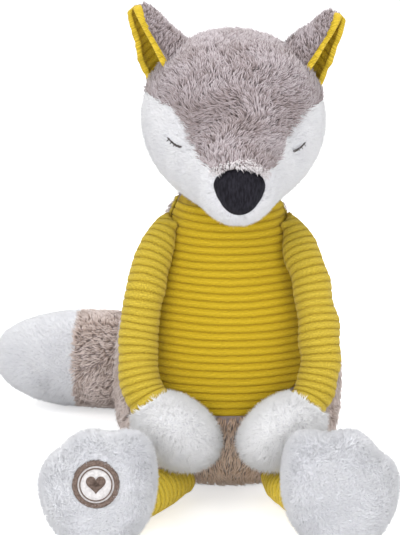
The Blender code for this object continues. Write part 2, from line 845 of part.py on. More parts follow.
def leg_stations(side, foot_out):
    hip = Vector((side * HIP_OUT, -HIP_FORWARD_SHARE * TORSO_HALF_DEPTH, HIP_HEIGHT))
    foot = Vector((side * foot_out, hip.y - LEG_REACH, FOOT_HALF_HEIGHT - SETTLE))

    def place(reach, out, radius):
        y = hip.y + (foot.y - hip.y) * reach
        x = hip.x + (foot.x - hip.x) * out
        return Vector((x, y, max(radius * LEG_RADIUS + GAP, hip.z)))

    near = [
        (place(*s), s[2] * LEG_RADIUS, s[2] * LEG_RADIUS) for s in LEG_STATION_SHARES
    ]
    seam = place(*ANKLE_SHARE)
    seam.z += (foot.z - seam.z) * ANKLE_RISE_SHARE
    ankle = (seam, ANKLE_SHARE[2] * LEG_RADIUS, ANKLE_SHARE[2] * LEG_RADIUS)
    far = []
    for depth, wide, tall in FOOT_STATION_SHARES:
        x = seam.x + (foot.x - seam.x) * min(1.0, depth / FOOT_FULL_WIDTH_SHARE)
        z = seam.z + (foot.z - seam.z) * min(1.0, depth / FOOT_FULL_RISE_SHARE)
        y = seam.y - depth * FOOT_DEPTH
        far.append((Vector((x, y, z)), wide * FOOT_HALF_WIDTH, tall * FOOT_HALF_HEIGHT))
    tip = Vector((far[-1][0].x, seam.y - FOOT_DEPTH, far[-1][0].z))
    return near, ankle, far, tip


def badge(points, faces, centre):
    """The round embroidered patch on one sole: a thin disc that follows the sole."""
    surface = BVHTree.FromPolygons([tuple(p) for p in points], faces)
    start = centre.y - OVERRUN
    layers = []
    for lift in (GAP, GAP + BADGE_THICKNESS):
        rings = []
        for share in BADGE_RING_SHARES:
            ring = []
            flat = oval(
                centre,
                Vector((1, 0, 0)),
                Vector((0, 0, 1)),
                share * BADGE_DIAMETER / 2,
                share * BADGE_DIAMETER / 2,
                BADGE_SIDES,
            )
            for p in flat:
                hit, normal, _, _ = surface.ray_cast(Vector((p.x, start, p.z)), Vector((0, 1, 0)))
                ring.append(hit + normal * lift)
            rings.append(ring)
        middle = sum(rings[0], Vector()) / BADGE_SIDES
        layers.append((rings, middle))
    (low, low_middle), (high, high_middle) = layers
    points, faces = cup_of(low, low_middle, high, high_middle)
    return add_mesh("sole_badge", points, faces, material("thread_brown", THREAD_BROWN, 0.75))


def leg(label, side, foot_out, swinging, keeper, with_badge):
    near, ankle, far, tip = leg_stations(side, foot_out)
    names = (f"leg_sleeve_{label}", f"foot_{label}", f"leg_{label}_filling")
    level = Vector((1, 0, 0))
    facing = Vector((0.0, -math.cos(FOOT_LEAN), math.sin(FOOT_LEAN)))
    form = limb_form(near, ankle, far, tip, level, LEG_SIDES, facing, toes_of(side))
    pieces = stuffed_limb(names, form, len(near), LEG_SIDES, (corduroy(), white_plush(), fibre()))
    clear_of(pieces, keeper, near[0][0], Vector((1, 0, 0)), LEG_DROP)
    if with_badge:
        pieces.append(badge(form[0], form[1], tip + Vector((0.0, 0.0, BADGE_RISE))))
    swinging.location = near[0][0]
    hang(swinging, *pieces)


def tail(swinging, keeper):
    """The bushy tail: grey from its root, white beyond the band seam, and filled."""
    root = Vector((TAIL_ROOT_OUT_SHARE * TORSO_HALF_WIDTH, TAIL_ROOT_BACK_SHARE * TORSO_HALF_DEPTH, 0.0))
    root.z = TAIL_RADIUS + TAIL_CLEARANCE

    def place(x, y, z):
        return root + Vector((x, y, z)) * TAIL_LENGTH

    def station(share):
        x, y, z, radius = share
        return place(x, y, z), radius * TAIL_RADIUS, radius * TAIL_RADIUS

    near = [station(s) for s in TAIL_STATION_SHARES]
    band = station(TAIL_BAND_SHARE)
    far = [station(s) for s in TAIL_TIP_STATION_SHARES]
    names = ("tail_base", "tail_tip", "tail_filling")
    form = limb_form(near, band, far, place(*TAIL_POLE_SHARE), Vector((0, 0, 1)), TAIL_SIDES)
    pieces = stuffed_limb(names, form, len(near), TAIL_SIDES, (grey_plush(), white_plush(), fibre()))
    clear_of(pieces, keeper, near[0][0], Vector((0, 0, -1)), TAIL_SWING)
    swinging.location = near[0][0]
    hang(swinging, *pieces)


def build():
    for old in list(bpy.data.objects):
        bpy.data.objects.remove(old)
    torso(group("torso_root"))
    head(group("head_joint"))
    keeper = torso_keeper(GAP)
    for label, side in (("left", 1), ("right", -1)):
        arm(label, side, group(f"arm_{label}_joint"), keeper)
    leg("left", 1, LEFT_FOOT_OUT, group("leg_left_joint"), keeper, False)
    leg("right", -1, RIGHT_FOOT_OUT, group("leg_right_joint"), keeper, True)
    tail(group("tail_joint"), keeper)
    bpy.data.objects.remove(keeper)


build()
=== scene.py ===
# %% [markdown]
# # A plush fox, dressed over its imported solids
#
# This file builds the looks of a sewn toy: a stuffed fox that sits with its legs forward. The packed
# model gives the sizes, the places and the bodies that move. Every piece below goes over those solids,
# in metres, in the same frame: the toy sits on z = 0, it faces -Y, and its own left is +X.
#
# The toy is made of four cloths: grey long-pile plush, white short-pile plush, mustard corduroy with
# broad wales, and black cloth for the nose. At this distance the pile and the wales are what the eye
# knows them by, so both are real geometry here and not a picture on a smooth form.

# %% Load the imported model
import json
import math

import bpy
import numpy as np
from mathutils import Matrix, Vector
from mathutils.bvhtree import BVHTree
from mathutils.kdtree import KDTree


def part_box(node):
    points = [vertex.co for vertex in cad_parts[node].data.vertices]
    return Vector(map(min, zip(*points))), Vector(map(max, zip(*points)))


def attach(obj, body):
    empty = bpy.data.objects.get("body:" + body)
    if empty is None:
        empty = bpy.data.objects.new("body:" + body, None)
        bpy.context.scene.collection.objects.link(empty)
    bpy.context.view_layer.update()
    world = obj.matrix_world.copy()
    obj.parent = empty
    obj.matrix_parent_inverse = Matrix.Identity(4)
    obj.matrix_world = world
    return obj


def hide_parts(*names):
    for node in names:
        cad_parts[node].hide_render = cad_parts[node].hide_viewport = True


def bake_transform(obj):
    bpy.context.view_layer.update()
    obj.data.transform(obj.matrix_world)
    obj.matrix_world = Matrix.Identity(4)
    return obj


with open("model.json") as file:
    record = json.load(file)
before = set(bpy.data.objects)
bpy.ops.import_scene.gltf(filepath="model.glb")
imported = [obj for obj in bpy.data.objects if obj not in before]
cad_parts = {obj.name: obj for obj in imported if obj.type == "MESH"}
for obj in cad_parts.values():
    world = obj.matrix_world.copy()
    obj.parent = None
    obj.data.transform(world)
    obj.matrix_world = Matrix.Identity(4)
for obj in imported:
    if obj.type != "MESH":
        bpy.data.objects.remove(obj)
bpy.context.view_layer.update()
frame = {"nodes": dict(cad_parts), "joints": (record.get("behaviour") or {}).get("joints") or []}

MM = 0.001
SEED = 20

# %% [markdown]
# ## Camera, light and floor
#
# The photograph looks down on the toy by about 15 degrees from 1.2 m away. The camera could be framed
# by eye, but here its place and lens were solved from the photograph, so that a pixel of the render is
# a pixel of the photograph. Plush is soft and pale, so it wants large soft lamps: one from the upper
# left, a weaker one from the right, one from above and behind that lights the tips of the pile, and a
# low one in front for the legs.

# %% The camera
CAMERA_PLACE = Vector((-0.0168, -1.1591, 0.4356))
CAMERA_AIM = Vector((-0.0168, 0.0, 0.125))
CAMERA_LENS_MM = 134.6
CAMERA_SENSOR_MM = 36.0

bpy.ops.object.camera_add(location=CAMERA_PLACE)
camera = bpy.context.object
camera.name = "camera"
camera.rotation_euler = (CAMERA_AIM - CAMERA_PLACE).to_track_quat("-Z", "Y").to_euler()
camera.data.sensor_fit = "VERTICAL"
camera.data.sensor_height = CAMERA_SENSOR_MM
camera.data.lens = CAMERA_LENS_MM
bpy.context.scene.camera = camera
bpy.context.scene.view_settings.view_transform = "Standard"
print("camera at", tuple(round(v, 3) for v in camera.location))

# %% The lamps
TOY_MIDDLE = (0.0, 0.0, 0.14)
TOY_LOW = (0.0, 0.0, 0.06)
# Each lamp's name, place, aim, size in metres and watts.
LAMPS = (
    ("key_lamp", (-0.65, -0.95, 0.95), TOY_MIDDLE, 0.9, 8.5),
    ("fill_lamp", (0.95, -0.80, 0.55), TOY_MIDDLE, 0.9, 5.0),
    ("top_lamp", (0.0, 0.35, 1.10), TOY_MIDDLE, 0.8, 8.5),
    ("low_lamp", (-0.1, -1.3, 0.22), TOY_LOW, 0.7, 4.8),
)


def soft_lamp(name, place, aim, size, watts):
    """A square area lamp that faces a point."""
    bpy.ops.object.light_add(type="AREA", location=place)
    lamp = bpy.context.object
    lamp.name = name
    lamp.rotation_euler = (Vector(aim) - Vector(place)).to_track_quat("-Z", "Y").to_euler()
    lamp.data.shape = "SQUARE"
    lamp.data.size = size
    lamp.data.energy = watts


for lamp in LAMPS:
    soft_lamp(*lamp)
print("lamps:", [name for name, *_ in LAMPS])

# %% The world and the floor
WORLD_LIGHT = 0.74
WHITE = (1.0, 1.0, 1.0, 1.0)
FLOOR_SIZE = 8.0
FLOOR_DROP = 0.0003
FLOOR_COLOUR = (0.86, 0.86, 0.87, 1.0)
FLOOR_LIFT = 0.55


def feed(tree, socket, value):
    """Links an input to a socket, or writes a constant into it."""
    if isinstance(value, bpy.types.NodeSocket):
        tree.links.new(value, socket)
    else:
        socket.default_value = value


def node_of(tree, kind, **inputs):
    """A new node with these inputs fed. An underscore stands for a space in an input's label."""
    node = tree.nodes.new(kind)
    for label, value in inputs.items():
        feed(tree, node.inputs[label.replace("_", " ")], value)
    return node


def math_of(tree, operation, first, second):
    """The result socket of a Math node on two sockets or numbers."""
    node = tree.nodes.new("ShaderNodeMath")
    node.operation = operation
    feed(tree, node.inputs[0], first)
    feed(tree, node.inputs[1], second)
    return node.outputs[0]


def seen_by_eye(tree):
    """A socket that is 1 for camera, mirror and glass rays, so that these see the white backdrop."""
    path = tree.nodes.new("ShaderNodeLightPath")
    both = math_of(tree, "MAXIMUM", path.outputs["Is Camera Ray"], path.outputs["Is Glossy Ray"])
    return math_of(tree, "MAXIMUM", both, path.outputs["Is Transmission Ray"])


world = bpy.data.worlds.new("studio")
world.use_nodes = True
bpy.context.scene.world = world
world_tree = world.node_tree
world_strength = node_of(
    world_tree, "ShaderNodeMapRange", Value=seen_by_eye(world_tree), To_Min=WORLD_LIGHT, To_Max=1.0
)
backdrop = world_tree.nodes["Background"]
backdrop.inputs["Color"].default_value = WHITE
world_tree.links.new(world_strength.outputs["Result"], backdrop.inputs["Strength"])

bpy.ops.mesh.primitive_plane_add(size=FLOOR_SIZE, location=(0.0, 0.0, -FLOOR_DROP))
floor = bpy.context.object
floor.name = "studio_floor"
floor_finish = bpy.data.materials.new("studio_floor")
floor_finish.use_nodes = True
floor_shader = floor_finish.node_tree.nodes["Principled BSDF"]
floor_shader.inputs["Base Color"].default_value = FLOOR_COLOUR
floor_shader.inputs["Roughness"].default_value = 0.9
floor_shader.inputs["Emission Color"].default_value = WHITE
floor_tree = floor_finish.node_tree
floor_glow = math_of(floor_tree, "MULTIPLY", seen_by_eye(floor_tree), FLOOR_LIFT)
floor_tree.links.new(floor_glow, floor_shader.inputs["Emission Strength"])
floor.data.materials.append(floor_finish)
print("floor", FLOOR_SIZE, "m wide")

# %% [markdown]
# ## The stuffed forms
#
# Under its pile, each part of the toy is a bag of knitted backing filled with fibre. It could be built
# afresh from a ball or a tube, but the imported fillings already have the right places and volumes. So
# each bag starts as a copy of a filling, is remeshed to even quads, and is swollen by Cloth with air
# pressure inside, as stuffing does. How far a point may move is capped, and the skin is then moved out
# to lie just under the tips of the pile. All this rounds off the toes, which are pressed in again.

# %% Helpers for copying and shaping
VOXEL = 4.0 * MM
SWELL_CAP = 1.0 * MM
SKIN_OUT = 1.5 * MM
SMOOTH_SHARE = 0.5
SMOOTH_TIMES = 4
PRESSURE = 4.0
CLOTH_FRAMES = 20
NEAR = 1e-5
TINY = 1e-9


def only(piece):
    """Selects one object alone and makes it active."""
    bpy.ops.object.select_all(action="DESELECT")
    piece.select_set(True)
    bpy.context.view_layer.objects.active = piece


def apply_modifier(piece, kind, **values):
    """Adds a modifier with these values and applies it."""
    only(piece)
    modifier = piece.modifiers.new(kind.lower(), kind)
    for key, value in values.items():
        setattr(modifier, key, value)
    bpy.ops.object.modifier_apply(modifier=modifier.name)


def merge_close(piece, face_out=False):
    """Merges points that lie on one another, and can turn the faces outwards."""
    only(piece)
    bpy.ops.object.mode_set(mode="EDIT")
    bpy.ops.mesh.select_all(action="SELECT")
    bpy.ops.mesh.remove_doubles(threshold=NEAR)
    if face_out:
        bpy.ops.mesh.normals_make_consistent(inside=False)
    bpy.ops.object.mode_set(mode="OBJECT")


def rows_of(items, field):
    """One row of three numbers for each of a mesh's items."""
    flat = np.zeros(len(items) * 3, np.float32)
    items.foreach_get(field, flat)
    return flat.reshape(-1, 3)


def points_of(piece):
    return rows_of(piece.data.vertices, "co").astype(float)


def set_points(piece, points):
    piece.data.vertices.foreach_set("co", np.asarray(points, np.float32).ravel())
    piece.data.update()


def copy_of(nodes, name):
    """A copy of CAD nodes as one mesh, with their loose triangles merged into closed forms."""
    copies = []
    for node in nodes:
        made = bpy.data.objects.new(name, frame["nodes"][node].data.copy())
        made.data.materials.clear()
        bpy.context.scene.collection.objects.link(made)
        copies.append(made)
    only(copies[0])
    for made in copies:
        made.select_set(True)
    if len(copies) > 1:
        bpy.ops.object.join()
    merge_close(copies[0])
    return copies[0]


def swell(piece):
    """Blows the closed skin up with Cloth, and lets no point move further than the cap."""
    start = points_of(piece)
    cloth = piece.modifiers.new("swell", "CLOTH")
    cloth.settings.use_pressure = True
    cloth.settings.uniform_pressure_force = PRESSURE
    cloth.settings.effector_weights.gravity = 0.0
    cloth.point_cache.frame_start = 1
    cloth.point_cache.frame_end = CLOTH_FRAMES
    for moment in range(1, CLOTH_FRAMES + 1):
        bpy.context.scene.frame_set(moment)
    swollen = piece.evaluated_get(bpy.context.evaluated_depsgraph_get())
    move = rows_of(swollen.data.vertices, "co") - start
    piece.modifiers.remove(cloth)
    bpy.context.scene.frame_set(1)
    far = np.linalg.norm(move, axis=1, keepdims=True)
    set_points(piece, start + move * np.minimum(1.0, SWELL_CAP / np.maximum(far, TINY)))


def stuffed_skin(nodes, name):
    """The swollen bag that stands for a filling, moved out to just under the pile."""
    skin = copy_of(nodes, name)
    apply_modifier(skin, "REMESH", mode="VOXEL", voxel_size=VOXEL)
    swell(skin)
    apply_modifier(skin, "SUBSURF", levels=1, render_levels=1)
    apply_modifier(skin, "SMOOTH", factor=SMOOTH_SHARE, iterations=SMOOTH_TIMES)
    apply_modifier(skin, "DISPLACE", strength=SKIN_OUT, mid_level=0.0)
    only(skin)
    bpy.ops.object.shade_smooth()
    return skin


# %% Make the stuffed forms
FILLINGS_OF = {
    "head": ["head_filling"],
    "torso": ["torso_filling", "seat_pellet_bag"],
    "arm_left": ["arm_left_filling"],
    "arm_right": ["arm_right_filling"],
    "leg_left": ["leg_left_filling"],
    "leg_right": ["leg_right_filling"],
    "tail": ["tail_filling"],
}
skins = {body: stuffed_skin(nodes, f"{body}_skin") for body, nodes in FILLINGS_OF.items()}
TOE_DIPS = (math.radians(46), math.radians(105))
TOE_TOPS = (math.radians(22), math.radians(77), math.radians(130))
TOE_WIDTH = math.radians(13)
TOE_DIP = 3.6 * MM
TOE_RISE = 1.4 * MM
TOE_REACH = (0.45, 0.85)


def bumps(angle, places):
    return sum(np.exp(-(((angle - at) / TOE_WIDTH) ** 2)) for at in places)


def part_toes(skin, foot, side):
    """Brings back the three toes, which the swelling has smoothed: two dips and three rises."""
    points = points_of(skin)
    low, high = (np.array(corner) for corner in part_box(foot))
    off = points - (low + high) / 2
    reach = np.hypot(off[:, 0], off[:, 2])
    angle = np.arctan2(off[:, 2], side * off[:, 0])
    dip = TOE_DIP * bumps(angle, TOE_DIPS) - TOE_RISE * bumps(angle, TOE_TOPS)
    edge = np.interp(reach / reach.max(), TOE_REACH, (0.0, 1.0)) * (points[:, 1] < high[1])
    shift = (dip * edge / np.maximum(reach, TINY))[:, None]
    points[:, [0, 2]] -= off[:, [0, 2]] * shift
    set_points(skin, points)


for label, side in (("left", 1), ("right", -1)):
    part_toes(skins[f"leg_{label}"], f"foot_{label}", side)
for body, skin in skins.items():
    low = points_of(skin).min(0) / MM
    high = points_of(skin).max(0) / MM
    print(skin.name, len(skin.data.polygons), "faces from", low.round(1), "to", high.round(1), "mm")


# %% Helpers that ask the forms where their surface is
def tree_of(piece):
    """A search tree of a piece's faces."""
    mesh = piece.data
    return BVHTree.FromPolygons([v.co for v in mesh.vertices], [p.vertices for p in mesh.polygons])


skin_trees = {body: tree_of(skin) for body, skin in skins.items()}
node_trees = {name: tree_of(node) for name, node in frame["nodes"].items()}


def nearest_of(points, names):
    """For each point, which of these CAD nodes is nearest, as an index into the names."""
    gaps = np.empty((len(names), len(points)))
    for row, name in enumerate(names):
        find = node_trees[name].find_nearest
        gaps[row] = [find(p)[3] for p in points]
    return gaps.argmin(0)


LEAST_LENGTH = 1e-12


def unit(vectors):
    return vectors / np.maximum(np.linalg.norm(vectors, axis=-1, keepdims=True), LEAST_LENGTH)


DRIFT_WAVES = 7
DRIFT_SPREAD = (0.6, 1.6)
DRIFT_MOST = 3.2


def drift(points, size, seed):
    """A smooth field between about -1 and 1 that wanders over the given distance."""
    draws = np.random.default_rng(seed)
    total = np.zeros(points.shape[:-1])
    for _ in range(DRIFT_WAVES):
        wave = unit(draws.normal(size=3)) * draws.uniform(*DRIFT_SPREAD) * 2 * math.pi / size
        total += np.sin(points @ wave + draws.uniform(0, 2 * math.pi))
    return total / DRIFT_MOST


# %% [markdown]
# ## Finishes
#
# The pile's colour runs from a dark root to a pale tip, and each tuft has its own tone. Both could be
# read from noise, but then one tuft would have many colours. Here each tuft's map holds its tone in u
# and its height in v, so the finish is a small palette that every tuft reads its own strip of. All
# plush shares one node group, with colours of its own for each place. Some places take a lighter or
# darker copy of a cloth's colours: painted light where a part gets less light, painted shade where it
# gets more.

# %% A node group for pile: tone across, height up
def new_group(name, inputs, outputs):
    """An empty shader group with named sockets, and its input and output nodes."""
    tree = bpy.data.node_groups.new(name, "ShaderNodeTree")
    for way, sockets in (("INPUT", inputs), ("OUTPUT", outputs)):
        for label, kind in sockets.items():
            tree.interface.new_socket(label, in_out=way, socket_type=f"NodeSocket{kind}")
    return tree, tree.nodes.new("NodeGroupInput"), tree.nodes.new("NodeGroupOutput")


def mix_colours(tree, share, first, second, blend="MIX"):
    """The result socket of a Mix node between two colour sockets or colours."""
    node = tree.nodes.new("ShaderNodeMix")
    node.data_type = "RGBA"
    node.blend_type = blend
    for socket, value in ((node.inputs[0], share), (node.inputs[6], first), (node.inputs[7], second)):
        feed(tree, socket, value)
    return node.outputs[2]


def ranged(tree, value, start, end, smooth=False):
    """The result socket of a Map Range node from the range start to the range end."""
    node = node_of(tree, "ShaderNodeMapRange", Value=value, From_Min=start[0], From_Max=start[1])
    node.inputs["To Min"].default_value, node.inputs["To Max"].default_value = end
    node.interpolation_type = "SMOOTHSTEP" if smooth else "LINEAR"
    return node.outputs["Result"]


pile_group, pile_in, pile_out = new_group(
    "pile_tone",
    {"Map": "Vector", "Root": "Color", "Middle": "Color", "Tip": "Color", "Warm": "Color"},
    {"Colour": "Color"},
)
pile_parts = node_of(pile_group, "ShaderNodeSeparateXYZ", Vector=pile_in.outputs["Map"])
pile_low = ranged(pile_group, pile_parts.outputs["Y"], (0.0, 0.55), (0.0, 1.0), smooth=True)
pile_high = ranged(pile_group, pile_parts.outputs["Y"], (0.5, 1.0), (0.0, 1.0))
pile_warmth = ranged(pile_group, pile_parts.outputs["X"], (0.0, 1.0), (0.45, 0.0))
# High tones mix towards the tip: tone at random, and painted light where the tone is raised on the top of the
# head.
pile_pale_tone_and_light = ranged(pile_group, pile_parts.outputs["X"], (0.6, 1.0), (0.0, 0.35))
pile_body = mix_colours(pile_group, pile_low, pile_in.outputs["Root"], pile_in.outputs["Middle"])
pile_body = mix_colours(pile_group, pile_high, pile_body, pile_in.outputs["Tip"])
pile_body = mix_colours(pile_group, pile_warmth, pile_body, pile_in.outputs["Warm"])
pile_body = mix_colours(pile_group, pile_pale_tone_and_light, pile_body, pile_in.outputs["Tip"])
pile_group.links.new(pile_body, pile_out.inputs["Colour"])


GLOSS = 0.25


def bare_finish(name, roughness, gloss=GLOSS):
    """A new material, its tree and its Principled shader."""
    finish = bpy.data.materials.new(name)
    finish.use_nodes = True
    shader = finish.node_tree.nodes["Principled BSDF"]
    shader.inputs["Roughness"].default_value = roughness
    shader.inputs["Specular IOR Level"].default_value = gloss
    return finish, finish.node_tree, shader


def toned(tree, shader, group, layer, tones):
    """Colours a shader with a node group that reads one of the piece's maps."""
    place = tree.nodes.new("ShaderNodeUVMap")
    place.uv_map = layer
    tone = tree.nodes.new("ShaderNodeGroup")
    tone.node_tree = group
    tree.links.new(place.outputs["UV"], tone.inputs["Map"])
    for label, colour in tones.items():
        tone.inputs[label].default_value = (*colour, 1.0)
    tree.links.new(tone.outputs["Colour"], shader.inputs["Base Color"])
    return tone


def relieved(tree, shader, height, strength, depth):
    """Gives a shader a bump from a height socket."""
    bump = node_of(tree, "ShaderNodeBump", Strength=strength, Distance=depth, Height=height)
    tree.links.new(bump.outputs["Normal"], shader.inputs["Normal"])


def pile_finish(name, root, middle, tip, warm, sheen):
    """The finish of one plush cloth's tufts."""
    finish, tree, shader = bare_finish(name, 0.85)
    tones = {"Root": root, "Middle": middle, "Tip": tip, "Warm": warm}
    toned(tree, shader, pile_group, "OFBake", tones)
    shader.inputs["Sheen Weight"].default_value = sheen
    shader.inputs["Sheen Roughness"].default_value = 0.5
    return finish


# Each pile's root, middle, tip and warm tone, and its sheen. Grey and white are the two plush cloths,
# and pale is the fringe over the nose. The other entries are lighter or darker copies of grey and white,
# as painted light and painted shade, as noted at each.
PILE_TONES = {
    "grey": (
        (0.09, 0.070, 0.070), (0.27, 0.218, 0.22), (0.62, 0.555, 0.585), (0.24, 0.182, 0.168), 0.25,
    ),
    # The grey plush again, lighter and warmer: painted light for the torso and the tail, which get less light
    # than the head.
    "grey_painted_light": (
        (0.20, 0.150, 0.125), (0.50, 0.405, 0.365), (0.82, 0.72, 0.69), (0.36, 0.262, 0.205), 0.25,
    ),
    # Lighter and warmer still: painted light for the tufts in the shade between the legs.
    "seat": (
        (0.34, 0.225, 0.155), (0.67, 0.49, 0.37), (0.90, 0.75, 0.64), (0.54, 0.36, 0.235), 0.25,
    ),
    "pale": (
        (0.36, 0.315, 0.32), (0.72, 0.675, 0.69), (0.88, 0.86, 0.875), (0.55, 0.48, 0.475), 0.25,
    ),
    "white": (
        (0.80, 0.80, 0.83), (0.88, 0.88, 0.90), (0.93, 0.93, 0.94), (0.70, 0.70, 0.74), 0.15,
    ),
    # The white a little darker: painted shade on the feet and the tail's tip.
    "white_painted_shade": (
        (0.74, 0.745, 0.78), (0.83, 0.835, 0.86), (0.885, 0.89, 0.91), (0.65, 0.655, 0.70), 0.15,
    ),
    # The white at its lightest: painted light on the paws, which get little light.
    "paw": (
        (0.90, 0.90, 0.91), (0.93, 0.93, 0.935), (0.94, 0.94, 0.945), (0.84, 0.84, 0.86), 0.2,
    ),
}
plush = {name: pile_finish(f"{name}_pile", *tones) for name, tones in PILE_TONES.items()}
print("pile finishes:", list(plush))


# %% Backing, nose cloth and thread
def grained_finish(
    name, dark, light, scale, relief, roughness, stretch=(1, 1, 1), depth=0.5 * MM, gloss=GLOSS
):
    """Two tones and a bump from one stretched noise, in Object coordinates."""
    finish, tree, shader = bare_finish(name, roughness, gloss)
    place = tree.nodes.new("ShaderNodeTexCoord")
    stretched = node_of(tree, "ShaderNodeMapping", Scale=stretch, Vector=place.outputs["Object"])
    noise = node_of(tree, "ShaderNodeTexNoise", Scale=scale, Detail=4.0, Vector=stretched.outputs["Vector"])
    share = ranged(tree, noise.outputs["Fac"], (0.35, 0.65), (0.0, 1.0))
    tree.links.new(mix_colours(tree, share, (*dark, 1.0), (*light, 1.0)), shader.inputs["Base Color"])
    relieved(tree, shader, noise.outputs["Fac"], relief, depth)
    return finish


# The cloth that the pile is knitted into shows between the tufts.
BACKING_TONES = {
    "grey": ((0.20, 0.165, 0.155), (0.36, 0.30, 0.285)),
    "white": ((0.76, 0.76, 0.79), (0.82, 0.82, 0.85)),
    "corduroy": ((0.30, 0.20, 0.02), (0.42, 0.29, 0.03)),
}
backing = {
    name: grained_finish(f"{name}_backing", *tones, 260.0, 0.6, 0.95, depth=0.6 * MM)
    for name, tones in BACKING_TONES.items()
}
nose_cloth = grained_finish(
    "nose_cloth", (0.006, 0.0055, 0.008), (0.017, 0.016, 0.022), 420.0, 0.5, 0.7,
    stretch=(2.2, 1, 0.6), gloss=0.08,
)
eye_thread = grained_finish("eye_thread", (0.020, 0.015, 0.014), (0.060, 0.048, 0.045), 900.0, 0.5, 0.6)
patch_thread = grained_finish("patch_thread", (0.085, 0.056, 0.044), (0.170, 0.122, 0.100), 800.0, 0.6, 0.6)
patch_ground = grained_finish("patch_ground", (0.47, 0.45, 0.45), (0.62, 0.60, 0.60), 700.0, 0.6, 0.8)
print("backings:", list(backing))
print("nose and threads:", [finish.name for finish in (nose_cloth, eye_thread, patch_thread, patch_ground)])

# %% [markdown]
# ## Pile
#
# Plush is cloth with thousands of upright fibres that stick together in small tufts. Blender's hair
# could grow them, but the exported model holds only meshes. So each tuft is a closed three-sided spike.
# A grey one bends once: it leaves the cloth steeply and lies over towards the nap, and neighbours lean
# to the same point, which gives the curls and the dark partings of grey plush. A white one is straight
# and shorter. Between the legs some of the torso's tufts take a second, lighter and warmer finish,
# which paints light into the shade there. All tufts of a piece are worked out together as arrays,
# because one operator call for each would take hours.

# %% Where tufts stand
rng = np.random.default_rng(SEED)


def roots_on(piece, per_mm2, slot=None):
    """Random places on a mesh, with the surface's direction there. per_mm2 gives how many stand on a mm2."""
    mesh = piece.data
    mesh.calc_loop_triangles()
    allowed = np.array([slot is None or t.material_index == slot for t in mesh.loop_triangles])
    corners = np.array([t.vertices[:] for t in mesh.loop_triangles])
    points = points_of(piece)
    a, b, c = (points[corners[:, i]] for i in range(3))
    across = np.cross(b - a, c - a)
    area = np.linalg.norm(across, axis=1) / 2 / MM**2
    wanted = area * per_mm2((a + b + c) / 3) * allowed
    count = int(wanted.sum())
    pick = rng.choice(len(wanted), count, p=wanted / wanted.sum())
    u, v = rng.random((2, count, 1))
    over = (u + v) > 1
    u, v = np.where(over, 1 - u, u), np.where(over, 1 - v, v)
    place = a[pick] + u * (b - a)[pick] + v * (c - a)[pick]
    facing = rows_of(mesh.vertices, "normal").astype(float)
    na, nb, nc = (facing[corners[pick, i]] for i in range(3))
    return place, unit(na + u * (nb - na) + v * (nc - na))


# %% One piece of pile
# The height over which the painted light on the top of the head grows to its full.
PAINTED_LIGHT_REACH = 30.0 * MM
ROOT_DEPTH = 0.5 * MM
FLOOR_CLEAR = 0.15 * MM
MOST_FACES = 195000
LENGTH_SPREAD = (0.72, 1.18)
WIDTH_SPREAD = (0.8, 1.25)
STEEP_SPREAD = 0.12
FLAT_SPREAD = 0.2
PULL_SPREAD = (0.6, 1.0)
MIDDLE_PULL = 0.3
MIDDLE_WIDTH_SHARE = 0.9
SWIRL_SEED, TONE_SEED = 3, 5
TONE_DRIFT = 0.3
TONE_SIZE = 30.0 * MM
# How much paler tufts grow on the top of the head: painted light.
PAINTED_LIGHT_GAIN = 0.3
TONE_ENDS = (0.02, 0.98)
# The corners of a bent tuft are three at the root, three at the bend and the tip. A spike has no bend.
TUFT_FACES = np.array(
    [(0, 1, 4), (0, 4, 3), (1, 2, 5), (1, 5, 4), (2, 0, 3),
     (2, 3, 5), (3, 4, 6), (4, 5, 6), (5, 3, 6), (0, 2, 1)]
)
SPIKE_FACES = np.array([(0, 1, 3), (1, 2, 3), (2, 0, 3), (0, 2, 1)])
CORNER_TONES = np.array([-0.004, 0.0, 0.004, -0.004, 0.0, 0.004, 0.0])
CORNER_HEIGHTS = np.array([0.01, 0.02, 0.015, 0.5, 0.51, 0.505, 0.99])


def mesh_piece(name, points, faces, finish):
    """A mesh object from arrays of points and triangles."""
    mesh = bpy.data.meshes.new(name)
    mesh.from_pydata(points.astype(np.float32), [], faces)
    mesh.update()
    mesh.materials.append(finish)
    mesh.polygons.foreach_set("use_smooth", np.ones(len(mesh.polygons), bool))
    made = bpy.data.objects.new(name, mesh)
    bpy.context.scene.collection.objects.link(made)
    return made


def leaders_of(roots, per_clump):
    """For each root, the nearest of the few that lead a clump."""
    leaders = rng.choice(len(roots), max(1, int(len(roots) / per_clump)), replace=False)
    finder = KDTree(len(leaders))
    for i, leader in enumerate(leaders):
        finder.insert(roots[leader], i)
    finder.balance()
    return leaders[[finder.find(p)[1] for p in roots]]


